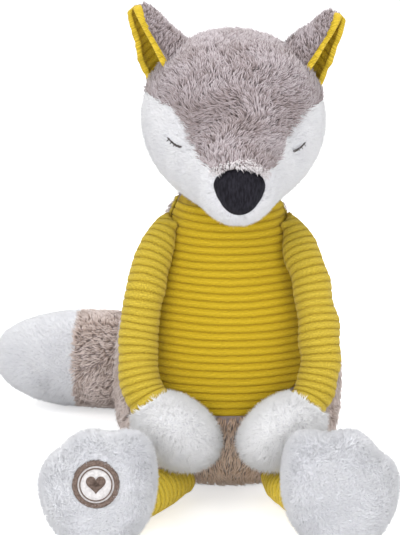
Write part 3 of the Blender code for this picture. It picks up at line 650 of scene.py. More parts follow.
def pile(name, roots, normals, comb, look, finish):
    """Closed tufts at these roots, lying towards comb. look holds lengths, widths and how they lean."""
    count = len(roots)
    comb = unit(comb - normals * (comb * normals).sum(1, keepdims=True))
    side = np.cross(normals, comb)
    turn = rng.normal(0, look["wander"], count)
    turn = (turn + look["swirl"] * drift(roots, look["swirl_size"], SWIRL_SEED))[:, None]
    comb = comb * np.cos(turn) + side * np.sin(turn)
    length = look["length"] * rng.uniform(*LENGTH_SPREAD, (count, 1))
    length *= np.interp(roots[:, 2:], *look["length_by_height"])
    steep = look["steep"] + rng.normal(0, STEEP_SPREAD, (count, 1))
    flat = look["flat"] + rng.normal(0, FLAT_SPREAD, (count, 1))
    middle = roots + length * 0.5 * (normals * np.cos(steep) + comb * np.sin(steep))
    tip = middle + length * 0.5 * (normals * np.cos(flat) + comb * np.sin(flat))
    own = leaders_of(roots, look["per_clump"])
    pull = look["clump"] * rng.uniform(*PULL_SPREAD, (count, 1))
    tip += (tip[own] - tip) * pull
    middle += (middle[own] - middle) * pull * MIDDLE_PULL
    tone = 0.5 * rng.random(count)[own] + 0.5 * rng.random(count)
    tone += TONE_DRIFT * drift(roots, TONE_SIZE, TONE_SEED)
    # Tufts above pale_from grow paler with height: painted light.
    tone += PAINTED_LIGHT_GAIN * np.clip((roots[:, 2] - look["pale_from"]) / PAINTED_LIGHT_REACH, 0, 1)
    tone = np.clip(tone, *TONE_ENDS)
    along = unit(tip - roots)
    first = unit(np.cross(along, unit(rng.normal(size=(count, 3)))))
    second = np.cross(along, first)
    half = look["width"] / 2 * rng.uniform(*WIDTH_SPREAD, (count, 1))
    shape = TUFT_FACES if look["bent"] else SPIKE_FACES
    corners = int(shape.max()) + 1
    points = np.empty((count, corners, 3))
    for i in range(3):
        angle = 2 * math.pi * i / 3
        out = first * math.cos(angle) + second * math.sin(angle)
        points[:, i] = roots - normals * ROOT_DEPTH + out * half
        if look["bent"]:
            points[:, i + 3] = middle + out * half * MIDDLE_WIDTH_SHARE
    points[:, -1] = tip
    points[:, :, 2] = np.maximum(points[:, :, 2], FLOOR_CLEAR)
    faces = (shape[None] + corners * np.arange(count)[:, None, None]).reshape(-1, 3)
    made = mesh_piece(name, points.reshape(-1, 3), faces, finish)
    u = tone[:, None] + CORNER_TONES[-corners:][shape.ravel()]
    v = np.append(CORNER_HEIGHTS[: corners - 1], CORNER_HEIGHTS[-1])[shape.ravel()]
    place = np.stack([u, np.broadcast_to(v, u.shape)], 2)
    layer = made.data.uv_layers.new(name="OFBake")
    layer.data.foreach_set("uv", place.astype(np.float32).ravel())
    facing = rows_of(made.data.vertices, "normal")
    cloth = np.repeat(normals, corners, axis=0)
    soft = unit(facing * (1 - look["soft"]) + cloth * look["soft"])
    made.data.normals_split_custom_set_from_vertices(soft.astype(np.float32))
    return made


def pile_pieces(name, roots, normals, comb, look, finish, place):
    """As many pieces as keep each under its limit of faces. place is called on each: it fixes the piece to
    its body, or bakes its place in.
    """
    faces = len(TUFT_FACES) if look["bent"] else len(SPIKE_FACES)
    parts = math.ceil(len(roots) * faces / MOST_FACES)
    order = np.argsort(roots[:, 2], kind="stable")
    made = []
    for i, chosen in enumerate(np.array_split(order, parts)):
        label = name if parts == 1 else f"{name}_{i + 1}"
        piece = pile(label, roots[chosen], normals[chosen], comb[chosen], look, finish)
        place(piece)
        made.append(piece)
    print(name, len(roots), "tufts in", parts, "pieces")
    return made


# steep and flat are a tuft's leans below and above its bend, in radians from upright. wander and swirl
# turn the nap, clump pulls tips together, soft shades a tuft like the cloth under it, pale_from is the
# height from which tufts grow paler, which paints light on the top of the head, and length_by_height
# pairs heights with shares of the length.
ABOVE_ALL = 9.0
SAME_LENGTH = ((0.0, 1.0), (1.0, 1.0))
GREY_LOOK = dict(
    length=6.8 * MM, width=0.62 * MM, steep=0.5, flat=1.2, wander=0.5, swirl=0.9, swirl_size=40.0 * MM,
    clump=0.5, per_clump=8, soft=0.45, bent=True, pale_from=ABOVE_ALL, length_by_height=SAME_LENGTH,
)
# The tufts on the top of the head grow paler: painted light where the top is lit.
HEAD_LOOK = {**GREY_LOOK, "pale_from": 232.0 * MM}
TAIL_LOOK = {**GREY_LOOK, "length": 5.6 * MM, "swirl": 1.4, "swirl_size": 20.0 * MM}
EAR_LENGTHS = (np.array((262.0, 284.0)) * MM, (1.0, 0.4))
EAR_LOOK = {**GREY_LOOK, "length": 5.2 * MM, "steep": 0.4, "flat": 0.85, "length_by_height": EAR_LENGTHS}
WHITE_LOOK = dict(
    length=4.6 * MM, width=0.65 * MM, steep=0.5, flat=0.85, wander=0.8, swirl=0.7, swirl_size=30.0 * MM,
    clump=0.35, per_clump=6, soft=0.4, bent=False, pale_from=ABOVE_ALL, length_by_height=SAME_LENGTH,
)
PAW_LENGTHS = (np.array((42.0, 60.0, 78.0)) * MM, (1.6, 1.0, 0.55))
PAW_LOOK = {**WHITE_LOOK, "length": 5.0 * MM, "wander": 1.5, "soft": 0.5, "length_by_height": PAW_LENGTHS}
print("a grey tuft is", GREY_LOOK["length"] / MM, "mm long, a white one", WHITE_LOOK["length"] / MM)


# %% Which body each piece follows
JOINT_OF = {joint["child"]: joint for joint in frame["joints"]}


def bends_with():
    """Gives a function that bakes a piece's place into its mesh and fixes it to no body."""

    def place(piece):
        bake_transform(piece)

    return place


def rides_on(body):
    """Gives a function that fixes a piece to a body."""
    return lambda piece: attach(piece, body)


# %% The skins' cloths
COVERS_OF = {
    "head": (("head_crown", "grey"), ("cheek_left", "white"), ("cheek_right", "white")),
    "torso": (("torso_back_cover", "grey"), ("torso_front_panel", "corduroy")),
    "arm_left": (("sleeve_left", "corduroy"), ("paw_left", "white")),
    "arm_right": (("sleeve_right", "corduroy"), ("paw_right", "white")),
    "leg_left": (("leg_sleeve_left", "corduroy"), ("foot_left", "white")),
    "leg_right": (("leg_sleeve_right", "corduroy"), ("foot_right", "white")),
    "tail": (("tail_base", "grey"), ("tail_tip", "white")),
}
TAIL_SHIFT = np.array((-1.5, 0.0, 0.0)) * MM


def cloth_at(body, points):
    """Which of a body's cloths covers each point."""
    if body == "tail":
        points = points + TAIL_SHIFT
    return nearest_of(points, [name for name, _ in COVERS_OF[body]])


for body, skin in skins.items():
    cloths = [cloth for _, cloth in COVERS_OF[body]]
    slots = list(dict.fromkeys(cloths))
    for cloth in slots:
        skin.data.materials.append(backing[cloth])
    middles = np.array([p.center for p in skin.data.polygons])
    index = np.array([slots.index(cloth) for cloth in cloths])[cloth_at(body, middles)]
    skin.data.polygons.foreach_set("material_index", index.astype(np.int32))
    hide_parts(*FILLINGS_OF[body])
    if body in JOINT_OF and body != "head":
        bends_with()(skin)
    else:
        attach(skin, body)
    print(skin.name, "has", [m.name for m in skin.data.materials])


# %% Places on the face
HEAD_SHIFT = 1.5 * MM
TILT_HEIGHT = 198.0 * MM
HEAD_POSE = (
    Matrix.Rotation(math.radians(2.0), 4, "Z")
    @ Matrix.Translation((HEAD_SHIFT, 0.0, TILT_HEIGHT))
    @ Matrix.Rotation(math.radians(2.5), 4, "Y")
    @ Matrix.Translation((0.0, 0.0, -TILT_HEIGHT))
)
HEAD_TURNS = np.array(HEAD_POSE.to_3x3())
HEAD_PLACE = np.array(HEAD_POSE.translation)
FACE_FAR = -160.0 * MM
RAY_REACH = 300.0 * MM


def head_posed(points):
    """Brings points from an upright head to the head as it sits, turned and tilted a little."""
    return points @ HEAD_TURNS.T + HEAD_PLACE


def head_upright(points):
    """The other way round."""
    return (points - HEAD_PLACE) @ HEAD_TURNS


def face_place(x, z):
    """Where the upright face's point (x, z) lies on the head's form, and the form's direction there."""
    start = head_posed(np.array((x, FACE_FAR, z)))
    inward = Vector(HEAD_TURNS @ (0, 1, 0))
    place, facing, _, _ = skin_trees["head"].ray_cast(Vector(start), inward, RAY_REACH)
    return np.array(place), np.array(facing)


# %% Outlines of the nose and the eyes
NOSE_HALF_WIDTH = 14.2 * MM
NOSE_HEIGHT = 25.2 * MM
NOSE_MIDDLE = 193.4 * MM
NOSE_OVERLAP = 0.6 * MM
NOSE_SHARES = np.array(
    [(0, 0.5), (0.25, 0.49), (0.6, 0.42), (0.88, 0.31), (0.99, 0.18), (1.0, 0.1),
     (0.92, -0.03), (0.73, -0.22), (0.5, -0.385), (0.26, -0.475), (0.1, -0.5), (0, -0.505)]
)
EYE_OUT = 33.2 * MM
EYE_HEIGHT = 209.8 * MM
EYE_LENGTH = 7.6 * MM
EYE_CLEAR = 1.4 * MM
EYE_SHARES = np.array([(-0.5, 0.36), (-0.3, 0.2), (-0.1, 0.07), (0.1, -0.02), (0.3, -0.07), (0.5, -0.06)])
EYE_SAMPLES = 9
FACE_BACK = -40.0 * MM
nose_x, nose_z = NOSE_SHARES[:, 0] * NOSE_HALF_WIDTH, NOSE_SHARES[:, 1] * NOSE_HEIGHT
nose_reach = np.hypot(nose_x, nose_z)
nose_slopes = np.arctan2(nose_z, nose_x)


def nose_radius(angles):
    """The nose's reach from its middle, at angles from the level."""
    folded = np.arctan2(np.sin(angles), np.abs(np.cos(angles)))
    return np.interp(folded, nose_slopes[::-1], nose_reach[::-1])


def eye_line(side, count):
    """Upright face points along one closed eye, from its outer end to its inner end."""
    along = np.linspace(-0.5, 0.5, count)
    rise = np.interp(along, EYE_SHARES[:, 0], EYE_SHARES[:, 1])
    return np.stack([side * (EYE_OUT - along * EYE_LENGTH), EYE_HEIGHT + rise * EYE_LENGTH], 1)


def under_nose_or_eyes(points):
    """Roots that the nose covers or that an eye's thread holds down."""
    upright = head_upright(points)
    x, z = upright[:, 0], upright[:, 2] - NOSE_MIDDLE
    front = upright[:, 1] < FACE_BACK
    hidden = front & (np.hypot(x, z) < nose_radius(np.arctan2(z, x)) - NOSE_OVERLAP)
    for side in (1, -1):
        for place in eye_line(side, EYE_SAMPLES):
            hidden |= front & (np.hypot(x - place[0], upright[:, 2] - place[1]) < EYE_CLEAR)
    return hidden


# %% Pile on the head
NOSE_TIP = np.array((2.0, -104.0, 193.0)) * MM
HEAD_PER_MM2 = 1.5
WHITE_PER_MM2 = 3.4
BACK_SHARE = 0.55
BACK_FROM = 30 * MM
BACK_BLEND = 60 * MM


def head_density(points):
    """More tufts where the face is seen, fewer behind the head."""
    front = np.clip((BACK_FROM - points[:, 1]) / BACK_BLEND, 0.0, 1.0)
    return WHITE_PER_MM2 * (BACK_SHARE + (1 - BACK_SHARE) * front)


def away_from(points, centre):
    return unit(points - centre)


head_roots, head_normals = roots_on(skins["head"], head_density)
on_panel = nearest_of(head_roots, ["head_crown", "cheek_left", "cheek_right"])
grey = on_panel == 0
free = ~under_nose_or_eyes(head_roots)
thin = free & (rng.random(len(grey)) < HEAD_PER_MM2 / WHITE_PER_MM2)
for name, mask, look, finish, slot, covers in (
    ("crown_pile", grey & thin, HEAD_LOOK, plush["grey"], "plush_grey", ["head_crown"]),
    ("cheek_pile", free & ~grey, WHITE_LOOK, plush["white"], "plush_white", ["cheek_left", "cheek_right"]),
):
    made = pile_pieces(
        name, head_roots[mask], head_normals[mask], away_from(head_roots[mask], NOSE_TIP), look, finish,
        rides_on("head"),
    )
    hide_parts(*covers)

# %% Pile on the torso, the tail, the paws and the feet
TORSO_PER_MM2 = 0.62
TAIL_PER_MM2 = 1.05


def panel_pile(body, cover, per_mm2, comb_of, look, finish, place, bare=None):
    """Pile on the part of a skin that one cover holds. bare says which roots are left out."""
    names = [name for name, _ in COVERS_OF[body]]
    roots, normals = roots_on(skins[body], lambda p: np.full(len(p), per_mm2))
    mask = cloth_at(body, roots) == names.index(cover)
    if bare is not None:
        mask &= ~bare(roots, normals)
    roots, normals = roots[mask], normals[mask]
    made = pile_pieces(f"{cover}_pile", roots, normals, comb_of(roots), look, finish, place)
    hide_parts(cover)
    return made


def straight(direction):
    return lambda points: np.broadcast_to(unit(np.array(direction, float)), points.shape).copy()


TAIL_LINE = np.array(
    [(-10.9, 51.3, 25.2), (-17.8, 68.5, 28.6), (-33.2, 87.4, 32.1),
     (-57.3, 102.9, 33.8), (-96.9, 109.3, 33.8), (-152.8, 109.3, 39.0)]
) * MM


def along_tail(points):
    """The direction of the tail's middle line beside each point."""
    middles = (TAIL_LINE[1:] + TAIL_LINE[:-1]) / 2
    steps = unit(TAIL_LINE[1:] - TAIL_LINE[:-1])
    near = np.linalg.norm(points[:, None] - middles[None], axis=2).argmin(1)
    return steps[near]


BADGE_MIDDLE = np.array((-72.5, -156.0, 46.5)) * MM
SOLE_LEAN = math.radians(10)
SOLE_FACING = np.array((0.0, -math.cos(SOLE_LEAN), math.sin(SOLE_LEAN)))
BADGE_RADIUS = 12.8 * MM
BADGE_OVERLAP = 0.4 * MM
SOLE_CLOSE = 0.3
SHOULDER = np.array([(27.5, -1.0, 170.5), (32.3, -6.3, 160.5), (36.7, -17.1, 151.7)]) * MM
SHOULDER_RADIUS = 13.5 * MM
# Where the painted light between the legs fades in, towards the front and towards the middle.
SEAT_FRONT = -22.0 * MM
SEAT_SIDE = 46.0 * MM
SEAT_BLEND = 14.0 * MM


def under_badge(roots, normals):
    """Roots on the sole that the round patch covers."""
    off = roots - BADGE_MIDDLE
    out = np.linalg.norm(off - SOLE_FACING * (off @ SOLE_FACING)[:, None], axis=1)
    return (out < BADGE_RADIUS - BADGE_OVERLAP) & (normals @ SOLE_FACING > SOLE_CLOSE)


def under_sleeves(roots, _):
    """Roots on the torso that a sleeve's top end covers."""
    mirrored = np.abs(roots) * (1, 0, 0) + roots * (0, 1, 1)
    inside = np.zeros(len(roots), bool)
    for a, b in zip(SHOULDER[:-1], SHOULDER[1:], strict=True):
        along = np.clip((mirrored - a) @ (b - a) / ((b - a) @ (b - a)), 0, 1)[:, None]
        inside |= np.linalg.norm(mirrored - a - along * (b - a), axis=1) < SHOULDER_RADIUS
    return inside


def seat_painted_light_share(roots):
    """How many of the tufts here take the lighter, warmer tone that paints light into the shade between the
    legs.
    """
    front = np.clip((SEAT_FRONT - roots[:, 1]) / SEAT_BLEND, 0, 1)
    middle = np.clip((SEAT_SIDE - np.abs(roots[:, 0])) / SEAT_BLEND, 0, 1)
    return front * middle


def give_painted_light(piece, finish, share_of):
    """Gives some tufts of a piece a second finish, as many as share_of says for where they stand. The second
    finish here is a lighter copy that paints light into shade.
    """
    piece.data.materials.append(finish)
    corners = int(TUFT_FACES.max()) + 1
    roots = points_of(piece).reshape(-1, corners, 3)[:, 0]
    chosen = rng.random(len(roots)) < share_of(roots)
    piece.data.polygons.foreach_set("material_index", np.repeat(chosen, len(TUFT_FACES)).astype(np.int32))
    return int(chosen.sum())


# The torso's tufts take the lighter copy of the grey: painted light.
torso_pile = panel_pile(
    "torso", "torso_back_cover", TORSO_PER_MM2, straight((0, 0, -1)), GREY_LOOK, plush["grey_painted_light"],
    rides_on("torso"), bare=under_sleeves,
)
# Some tufts in the shade between the legs take a still lighter, warmer finish: painted light.
print("tufts of the warmer tone:", [give_painted_light(piece, plush["seat"], seat_painted_light_share) for piece in torso_pile])
# The tail's base takes the lighter copy of the grey: painted light.
panel_pile(
    "tail", "tail_base", TAIL_PER_MM2, along_tail, TAIL_LOOK, plush["grey_painted_light"], bends_with()
)
# The tail's tip takes the darker white: painted shade.
panel_pile(
    "tail", "tail_tip", WHITE_PER_MM2, along_tail, WHITE_LOOK, plush["white_painted_shade"],
    rides_on("tail"),
)
for label, side in (("left", 1), ("right", -1)):
    for limb, end, comb, look, tone, bare in (
        # The paws take the lightest white: painted light, as they get little light.
        ("arm", "paw", (-0.6 * side, -0.7, -0.5), PAW_LOOK, "paw", None),
        # The feet take the darker white: painted shade.
        ("leg", "foot", (0.2 * side, -1.0, 0.4), WHITE_LOOK, "white_painted_shade", under_badge),
    ):
        body = f"{limb}_{label}"
        panel_pile(
            body, f"{end}_{label}", WHITE_PER_MM2, straight(comb), look, plush[tone],
            rides_on(body), bare=bare,
        )

# %% [markdown]
# ## Corduroy
#
# The body's front, the sleeves, the legs and the ear linings are corduroy: a cotton cloth with rows of
# cut pile, the wales, about 4.5 mm apart. A bump map would flatten at the outline, where the photograph
# shows each wale stand out, so the wales are geometry: a grid is laid on the skin with eight rows to a
# wale, and its rows are lifted to a round ridge with a narrow groove.

# %% The corduroy's finish
CORD_DEPTH = 0.6 * MM
FLECK_STRETCH = (6.0, 3.5, 1.0)
cord_group, cord_in, cord_out = new_group(
    "wale_tone",
    {"Map": "Vector", "Groove": "Color", "Ridge": "Color", "Top": "Color", "Grain": "Float"},
    {"Colour": "Color", "Height": "Float"},
)
cord_parts = node_of(cord_group, "ShaderNodeSeparateXYZ", Vector=cord_in.outputs["Map"])
cord_wave = math_of(cord_group, "PINGPONG", cord_parts.outputs["Y"], 0.5)
cord_scale = node_of(cord_group, "ShaderNodeMapping", Scale=FLECK_STRETCH, Vector=cord_in.outputs["Map"])
cord_fleck = node_of(
    cord_group, "ShaderNodeTexNoise", Detail=3.0, Roughness=0.65, Scale=cord_in.outputs["Grain"],
    Vector=cord_scale.outputs["Vector"],
)
cord_flecks = ranged(cord_group, cord_fleck.outputs["Fac"], (0.3, 0.7), (-0.17, 0.17))
cord_level = math_of(cord_group, "ADD", cord_wave, cord_flecks)
# Darker towards the grooves: painted shade. Lighter on the wale tops: a painted highlight. The flecks break
# both up.
cord_groove_painted_shade = ranged(cord_group, cord_level, (0.02, 0.22), (0.0, 1.0), smooth=True)
cord_top_painted_highlight = ranged(cord_group, cord_level, (0.22, 0.6), (0.0, 1.0))
cord_colour = mix_colours(cord_group, cord_groove_painted_shade, cord_in.outputs["Groove"], cord_in.outputs["Ridge"])
cord_colour = mix_colours(cord_group, cord_top_painted_highlight, cord_colour, cord_in.outputs["Top"])
cord_shade = ranged(cord_group, cord_fleck.outputs["Fac"], (0.38, 0.62), (0.74, 1.22))
cord_colour = mix_colours(cord_group, 1.0, cord_colour, cord_shade, "MULTIPLY")
cord_group.links.new(cord_colour, cord_out.inputs["Colour"])
cord_group.links.new(cord_fleck.outputs["Fac"], cord_out.inputs["Height"])


def corduroy_finish(name, groove, ridge, top):
    """Mustard corduroy: grooves darkened as painted shade, wale tops lightened as a painted highlight, and
    short fibres.
    """
    finish, tree, shader = bare_finish(name, 0.9)
    tone = toned(tree, shader, cord_group, "wales", {"Groove": groove, "Ridge": ridge, "Top": top})
    tone.inputs["Grain"].default_value = 1.6
    relieved(tree, shader, tone.outputs["Height"], 0.8, CORD_DEPTH)
    shader.inputs["Sheen Weight"].default_value = 0.2
    shader.inputs["Sheen Roughness"].default_value = 0.4
    shader.inputs["Sheen Tint"].default_value = (1.0, 0.9, 0.5, 1.0)
    return finish


# The groove, ridge and top of each corduroy: the groove's darker tone is painted shade and the top's
# lighter tone a painted highlight. Mustard is the front panel's.
CORD_TONES = {
    "lining": ((0.38, 0.24, 0.008), (0.52, 0.36, 0.014), (0.58, 0.41, 0.032)),
    # The legs' corduroy is much lighter: painted light for legs that lie in the feet's shade.
    "leg": ((0.54, 0.37, 0.03), (0.72, 0.53, 0.045), (0.80, 0.62, 0.085)),
    "mustard": ((0.34, 0.218, 0.005), (0.45, 0.305, 0.008), (0.55, 0.385, 0.018)),
    "sleeve": ((0.33, 0.230, 0.016), (0.45, 0.326, 0.027), (0.53, 0.395, 0.046)),
}
corduroy = {name: corduroy_finish(f"{name}_corduroy", *tones) for name, tones in CORD_TONES.items()}
print("corduroy finishes:", list(corduroy))

# %% A grid of cloth with wales
WALE_PITCH = 4.5 * MM
WALE_HEIGHT = 0.8 * MM
WALE_ROW_SHARES = (0.0, 0.07, 0.16, 0.3, 0.5, 0.7, 0.84, 0.93)
WALE_FLATNESS, WALE_FALL = 5, 0.75
CLOTH_THICKNESS = 0.9 * MM
SEAM_ROLL = 2.4 * MM
SEAM_SINK = 1.3 * MM


def wale_phases(count):
    """Row positions, counted in wales, for a whole number of wales."""
    rows = np.concatenate([k + np.array(WALE_ROW_SHARES) for k in range(count)])
    return np.append(rows, float(count))


def wale_lift(phase):
    """Height of the cloth's face over its groove: a round ridge between narrow grooves."""
    off = np.abs(phase % 1.0 - 0.5) * 2
    return WALE_HEIGHT * (1 - off**WALE_FLATNESS) ** WALE_FALL


def facing_of(base):
    """Directions square to a grid of points."""
    along_rows = np.gradient(base, axis=0)
    along_columns = np.gradient(base, axis=1)
    return unit(np.cross(along_columns, along_rows))


def laid_grid(name, points, phases=None, widths=None):
    """A grid primitive laid over rows of points, with a map of its wales if it has any. Returns it with
    each face's row and column."""
    rows, columns = points.shape[:2]
    bpy.ops.object.select_all(action="DESELECT")
    bpy.ops.mesh.primitive_grid_add(x_subdivisions=columns - 1, y_subdivisions=rows - 1, size=2.0)
    made = bpy.context.object
    mesh = made.data
    made.name = mesh.name = name
    ends = np.array((columns - 1, rows - 1))
    flat = points_of(made)
    column, row = np.rint((flat[:, :2] + 1) / 2 * ends).astype(int).T
    middles = np.array([p.center for p in mesh.polygons])
    face_column, face_row = ((middles[:, :2] + 1) / 2 * ends).T
    set_points(made, points[row, column])
    mesh.uv_layers[0].name = "OFBake"
    if phases is not None:
        corners = np.zeros(len(mesh.loops), np.int32)
        mesh.loops.foreach_get("vertex_index", corners)
        phases = np.broadcast_to(phases.reshape(rows, -1), (rows, columns))
        place = np.stack([widths[row, column] / WALE_PITCH, phases[row, column]], 1)[corners]
        wales = mesh.uv_layers.new(name="wales")
        wales.data.foreach_set("uv", place.astype(np.float32).ravel())
    return made, face_row, face_column


def cloth_grid(name, points, phases, widths, finish, closed):
    """A laid grid with a thickness, closed round if it is a tube."""
    made, _, _ = laid_grid(name, points, phases, widths)
    if closed:
        merge_close(made)
    made.data.materials.append(finish)
    apply_modifier(made, "SOLIDIFY", thickness=CLOTH_THICKNESS, offset=-1.0)
    only(made)
    bpy.ops.object.shade_smooth()
    return made


def lengths_along(line):
    """The length from a line's start to each of its points."""
    return np.append(0.0, np.cumsum(np.linalg.norm(np.diff(line, axis=0), axis=1)))


def sampled(places, lengths, values):
    """Rows of three numbers at these lengths along a line."""
    return np.stack([np.interp(places, lengths, values[:, i]) for i in range(3)], 1)


def roll_share(gap):
    """How far the cloth stands out at this distance from its seam, as a rounded edge."""
    return np.sqrt(1 - (1 - np.clip(gap / SEAM_ROLL, 0, 1)) ** 2)


# %% The front panel
PANEL_LOW = 49.4 * MM
PANEL_TOP = 171.0 * MM
PANEL_MIDDLE = 121.0 * MM
PANEL_RISE = 72.0 * MM
PANEL_HALF = 61.0 * MM
SIDE_SEAM_Y = -6.0 * MM
PANEL_COLUMNS = 111
PANEL_REST = 0.6 * MM
PANEL_START = 0.4 * MM
PANEL_EDGE = 0.2 * MM
PANEL_TURN = 100
PANEL_RAYS = 241
PANEL_STEPS = 300
PANEL_WANDER, WANDER_SIZE, WANDER_SEED = 0.3 * MM, 60.0 * MM, 11
WANDER_STRETCH = (1.0, 1.0, 3.0)
PANEL_SAG, SAG_SIZE, SAG_SEED = 0.25 * MM, 50.0 * MM, 12
FAR = 200.0 * MM


def hit_from(tree, centre, direction):
    """Where a ray from the inside leaves the skin."""
    place = tree.ray_cast(Vector(centre), Vector(direction), FAR)[0]
    return np.array(place) if place is not None else None


def panel_half_width(z):
    if z >= PANEL_MIDDLE:
        return PANEL_HALF
    return PANEL_HALF * math.sqrt(max(0.0, 1 - ((PANEL_MIDDLE - z) / PANEL_RISE) ** 2))


def panel_row(z):
    """Points round the front of the torso at one height, from seam to seam, evenly spaced."""
    angles = np.radians(np.linspace(-PANEL_TURN, PANEL_TURN, PANEL_RAYS))
    ways = [(math.sin(angle), -math.cos(angle), 0) for angle in angles]
    line = np.array([hit_from(skin_trees["torso"], (0, 0, z), way) for way in ways])
    line = line[(np.abs(line[:, 0]) <= panel_half_width(z)) & (line[:, 1] <= SIDE_SEAM_Y)]
    lengths = lengths_along(line)
    even = np.linspace(0, lengths[-1], PANEL_COLUMNS)
    return sampled(even, lengths, line), even - lengths[-1] / 2


heights = np.linspace(PANEL_LOW + PANEL_START, PANEL_TOP, PANEL_STEPS)
climbed = lengths_along(np.array([hit_from(skin_trees["torso"], (0, 0, z), (0, -1, 0)) for z in heights]))
panel_wales = int(climbed[-1] / WALE_PITCH)
panel_phases = wale_phases(panel_wales)
rows = [panel_row(z) for z in np.interp(panel_phases * WALE_PITCH, climbed, heights)]
base = np.array([r[0] for r in rows])
across = np.array([r[1] for r in rows])
outward = facing_of(base)
if outward[len(rows) // 2, PANEL_COLUMNS // 2, 1] > 0:
    outward = -outward
low_end = np.minimum(base[..., 2] - PANEL_MIDDLE, 0) / PANEL_RISE
bowl = np.hypot(base[..., 0] / PANEL_HALF, low_end)
seam_gap = np.minimum(across - across[:, :1], across[:, -1:] - across)
seam_gap = np.minimum(seam_gap, np.maximum((1 - bowl) * PANEL_RISE, 0) + PANEL_EDGE)
rolled = roll_share(seam_gap)[..., None]
wander = PANEL_WANDER * drift(base * WANDER_STRETCH, WANDER_SIZE, WANDER_SEED)[..., None]
lifted = base + outward * ((PANEL_REST + wale_lift(panel_phases)[:, None, None] + wander) * rolled)
lifted -= outward * SEAM_SINK * (1 - rolled)
lifted[..., 2] += PANEL_SAG * drift(base, SAG_SIZE, SAG_SEED)
front_corduroy = cloth_grid("front_corduroy", lifted, panel_phases, across, corduroy["mustard"], closed=False)
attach(front_corduroy, "torso")
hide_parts("torso_front_panel")
print("front panel:", panel_wales, "wales,", len(front_corduroy.data.polygons), "faces")

# %% Sleeves and legs
ARM_LINE = np.array(
    [(27.5, -1.0, 170.5), (32.3, -6.3, 160.5), (36.7, -17.1, 151.7), (43.2, -27.4, 139.9),
     (48.6, -38.2, 123.2), (52.0, -47.3, 101.2), (53.4, -55.3, 81.8), (50.0, -61.8, 67.8),
     (45.6, -65.8, 60.7), (42.2, -67.5, 57.2)]
) * MM
LEG_LINE_LEFT = np.array(
    [(23.0, -46.7, 10.5), (38.0, -79.7, 15.3), (52.9, -112.7, 20.1), (55.5, -118.0, 20.9)]
) * MM
LEG_LINE_RIGHT = np.array(
    [(23.0, -46.7, 10.5), (43.3, -79.7, 15.3), (63.6, -112.7, 20.1), (67.0, -118.0, 21.0)]
) * MM
LINE_POINTS = 240
SPAN_POINTS = 40
TUBE_COLUMNS = 65
TUBE_REST = 0.5 * MM
SHOULDER_TAPER = 3.0 * MM
SHOULDER_SEAM = 15.5 * MM
PUCKER = 0.7 * MM
PUCKER_SIZE = 28.0 * MM
SLIDE_SIZE = 30.0 * MM


def smooth_line(points):
    """A smooth curve through the points, evenly sampled by length."""
    ends = np.concatenate([[2 * points[0] - points[1]], points, [2 * points[-1] - points[-2]]])
    t = np.linspace(0, 1, SPAN_POINTS, endpoint=False)[:, None]
    pieces = []
    for i in range(len(points) - 1):
        a, b, c, d = ends[i : i + 4]
        pieces.append(
            0.5 * (2 * b + (c - a) * t + (2 * a - 5 * b + 4 * c - d) * t**2 + (3 * b - a - 3 * c + d) * t**3)
        )
    line = np.concatenate([*pieces, points[-1:]])
    lengths = lengths_along(line)
    even = np.linspace(0, lengths[-1], LINE_POINTS)
    return sampled(even, lengths, line), even


def ribbed_tube(name, line, tree, start, short, seed, finish, seam):
    """Corduroy round a limb: rows of wales square to its middle line, from start to short of its end.
    Before seam, where the limb's form has ended, the cloth narrows towards the body."""
    curve, lengths = smooth_line(line)
    total = lengths[-1] - short - start
    count = int(round(total / WALE_PITCH))
    phases = wale_phases(count)
    places = start + phases / count * total
    centres = sampled(places, lengths, curve)
    ways = unit(sampled(places, lengths, np.gradient(curve, axis=0)))
    spokes = 2 * math.pi * np.arange(TUBE_COLUMNS) / (TUBE_COLUMNS - 1)
    rows = []
    for centre, way, place in zip(centres[::-1], ways[::-1], places[::-1], strict=True):
        first = np.array((1.0, 0, 0)) - way * way[0]
        first /= np.linalg.norm(first)
        second = np.cross(way, first)
        ring = []
        for step, angle in enumerate(spokes):
            spoke = first * math.cos(angle) + second * math.sin(angle)
            if place >= seam:
                hit = hit_from(tree, centre, spoke)
                ring.append(centre if hit is None else hit)
            else:
                narrow = math.sqrt(1 - ((seam - place) / (seam + SHOULDER_TAPER)) ** 2)
                ring.append(centre + spoke * last_radii[step] * narrow)
        if place >= seam:
            last_radii = np.linalg.norm(np.array(ring) - centre, axis=1)
        rows.append(ring)
    base = np.array(rows[::-1])
    out = base - centres[:, None]
    radius = np.linalg.norm(out, axis=2, keepdims=True)
    outward = out / np.maximum(radius, TINY)
    rolled = roll_share(np.minimum(phases, count - phases)[:, None, None] * WALE_PITCH)
    puckers = PUCKER * drift(base, PUCKER_SIZE, seed)[..., None]
    lifted = base + outward * ((TUBE_REST + wale_lift(phases)[:, None, None] + puckers) * rolled)
    lifted -= outward * SEAM_SINK * (1 - rolled)
    lifted += ways[:, None] * (PUCKER * drift(base, SLIDE_SIZE, seed + 1))[..., None]
    lifted[:, -1] = lifted[:, 0]
    across = np.linspace(0, 1, TUBE_COLUMNS)[None] * 2 * math.pi * radius.mean()
    across = np.broadcast_to(across, lifted.shape[:2])
    return cloth_grid(name, lifted, phases, across, finish, closed=True)


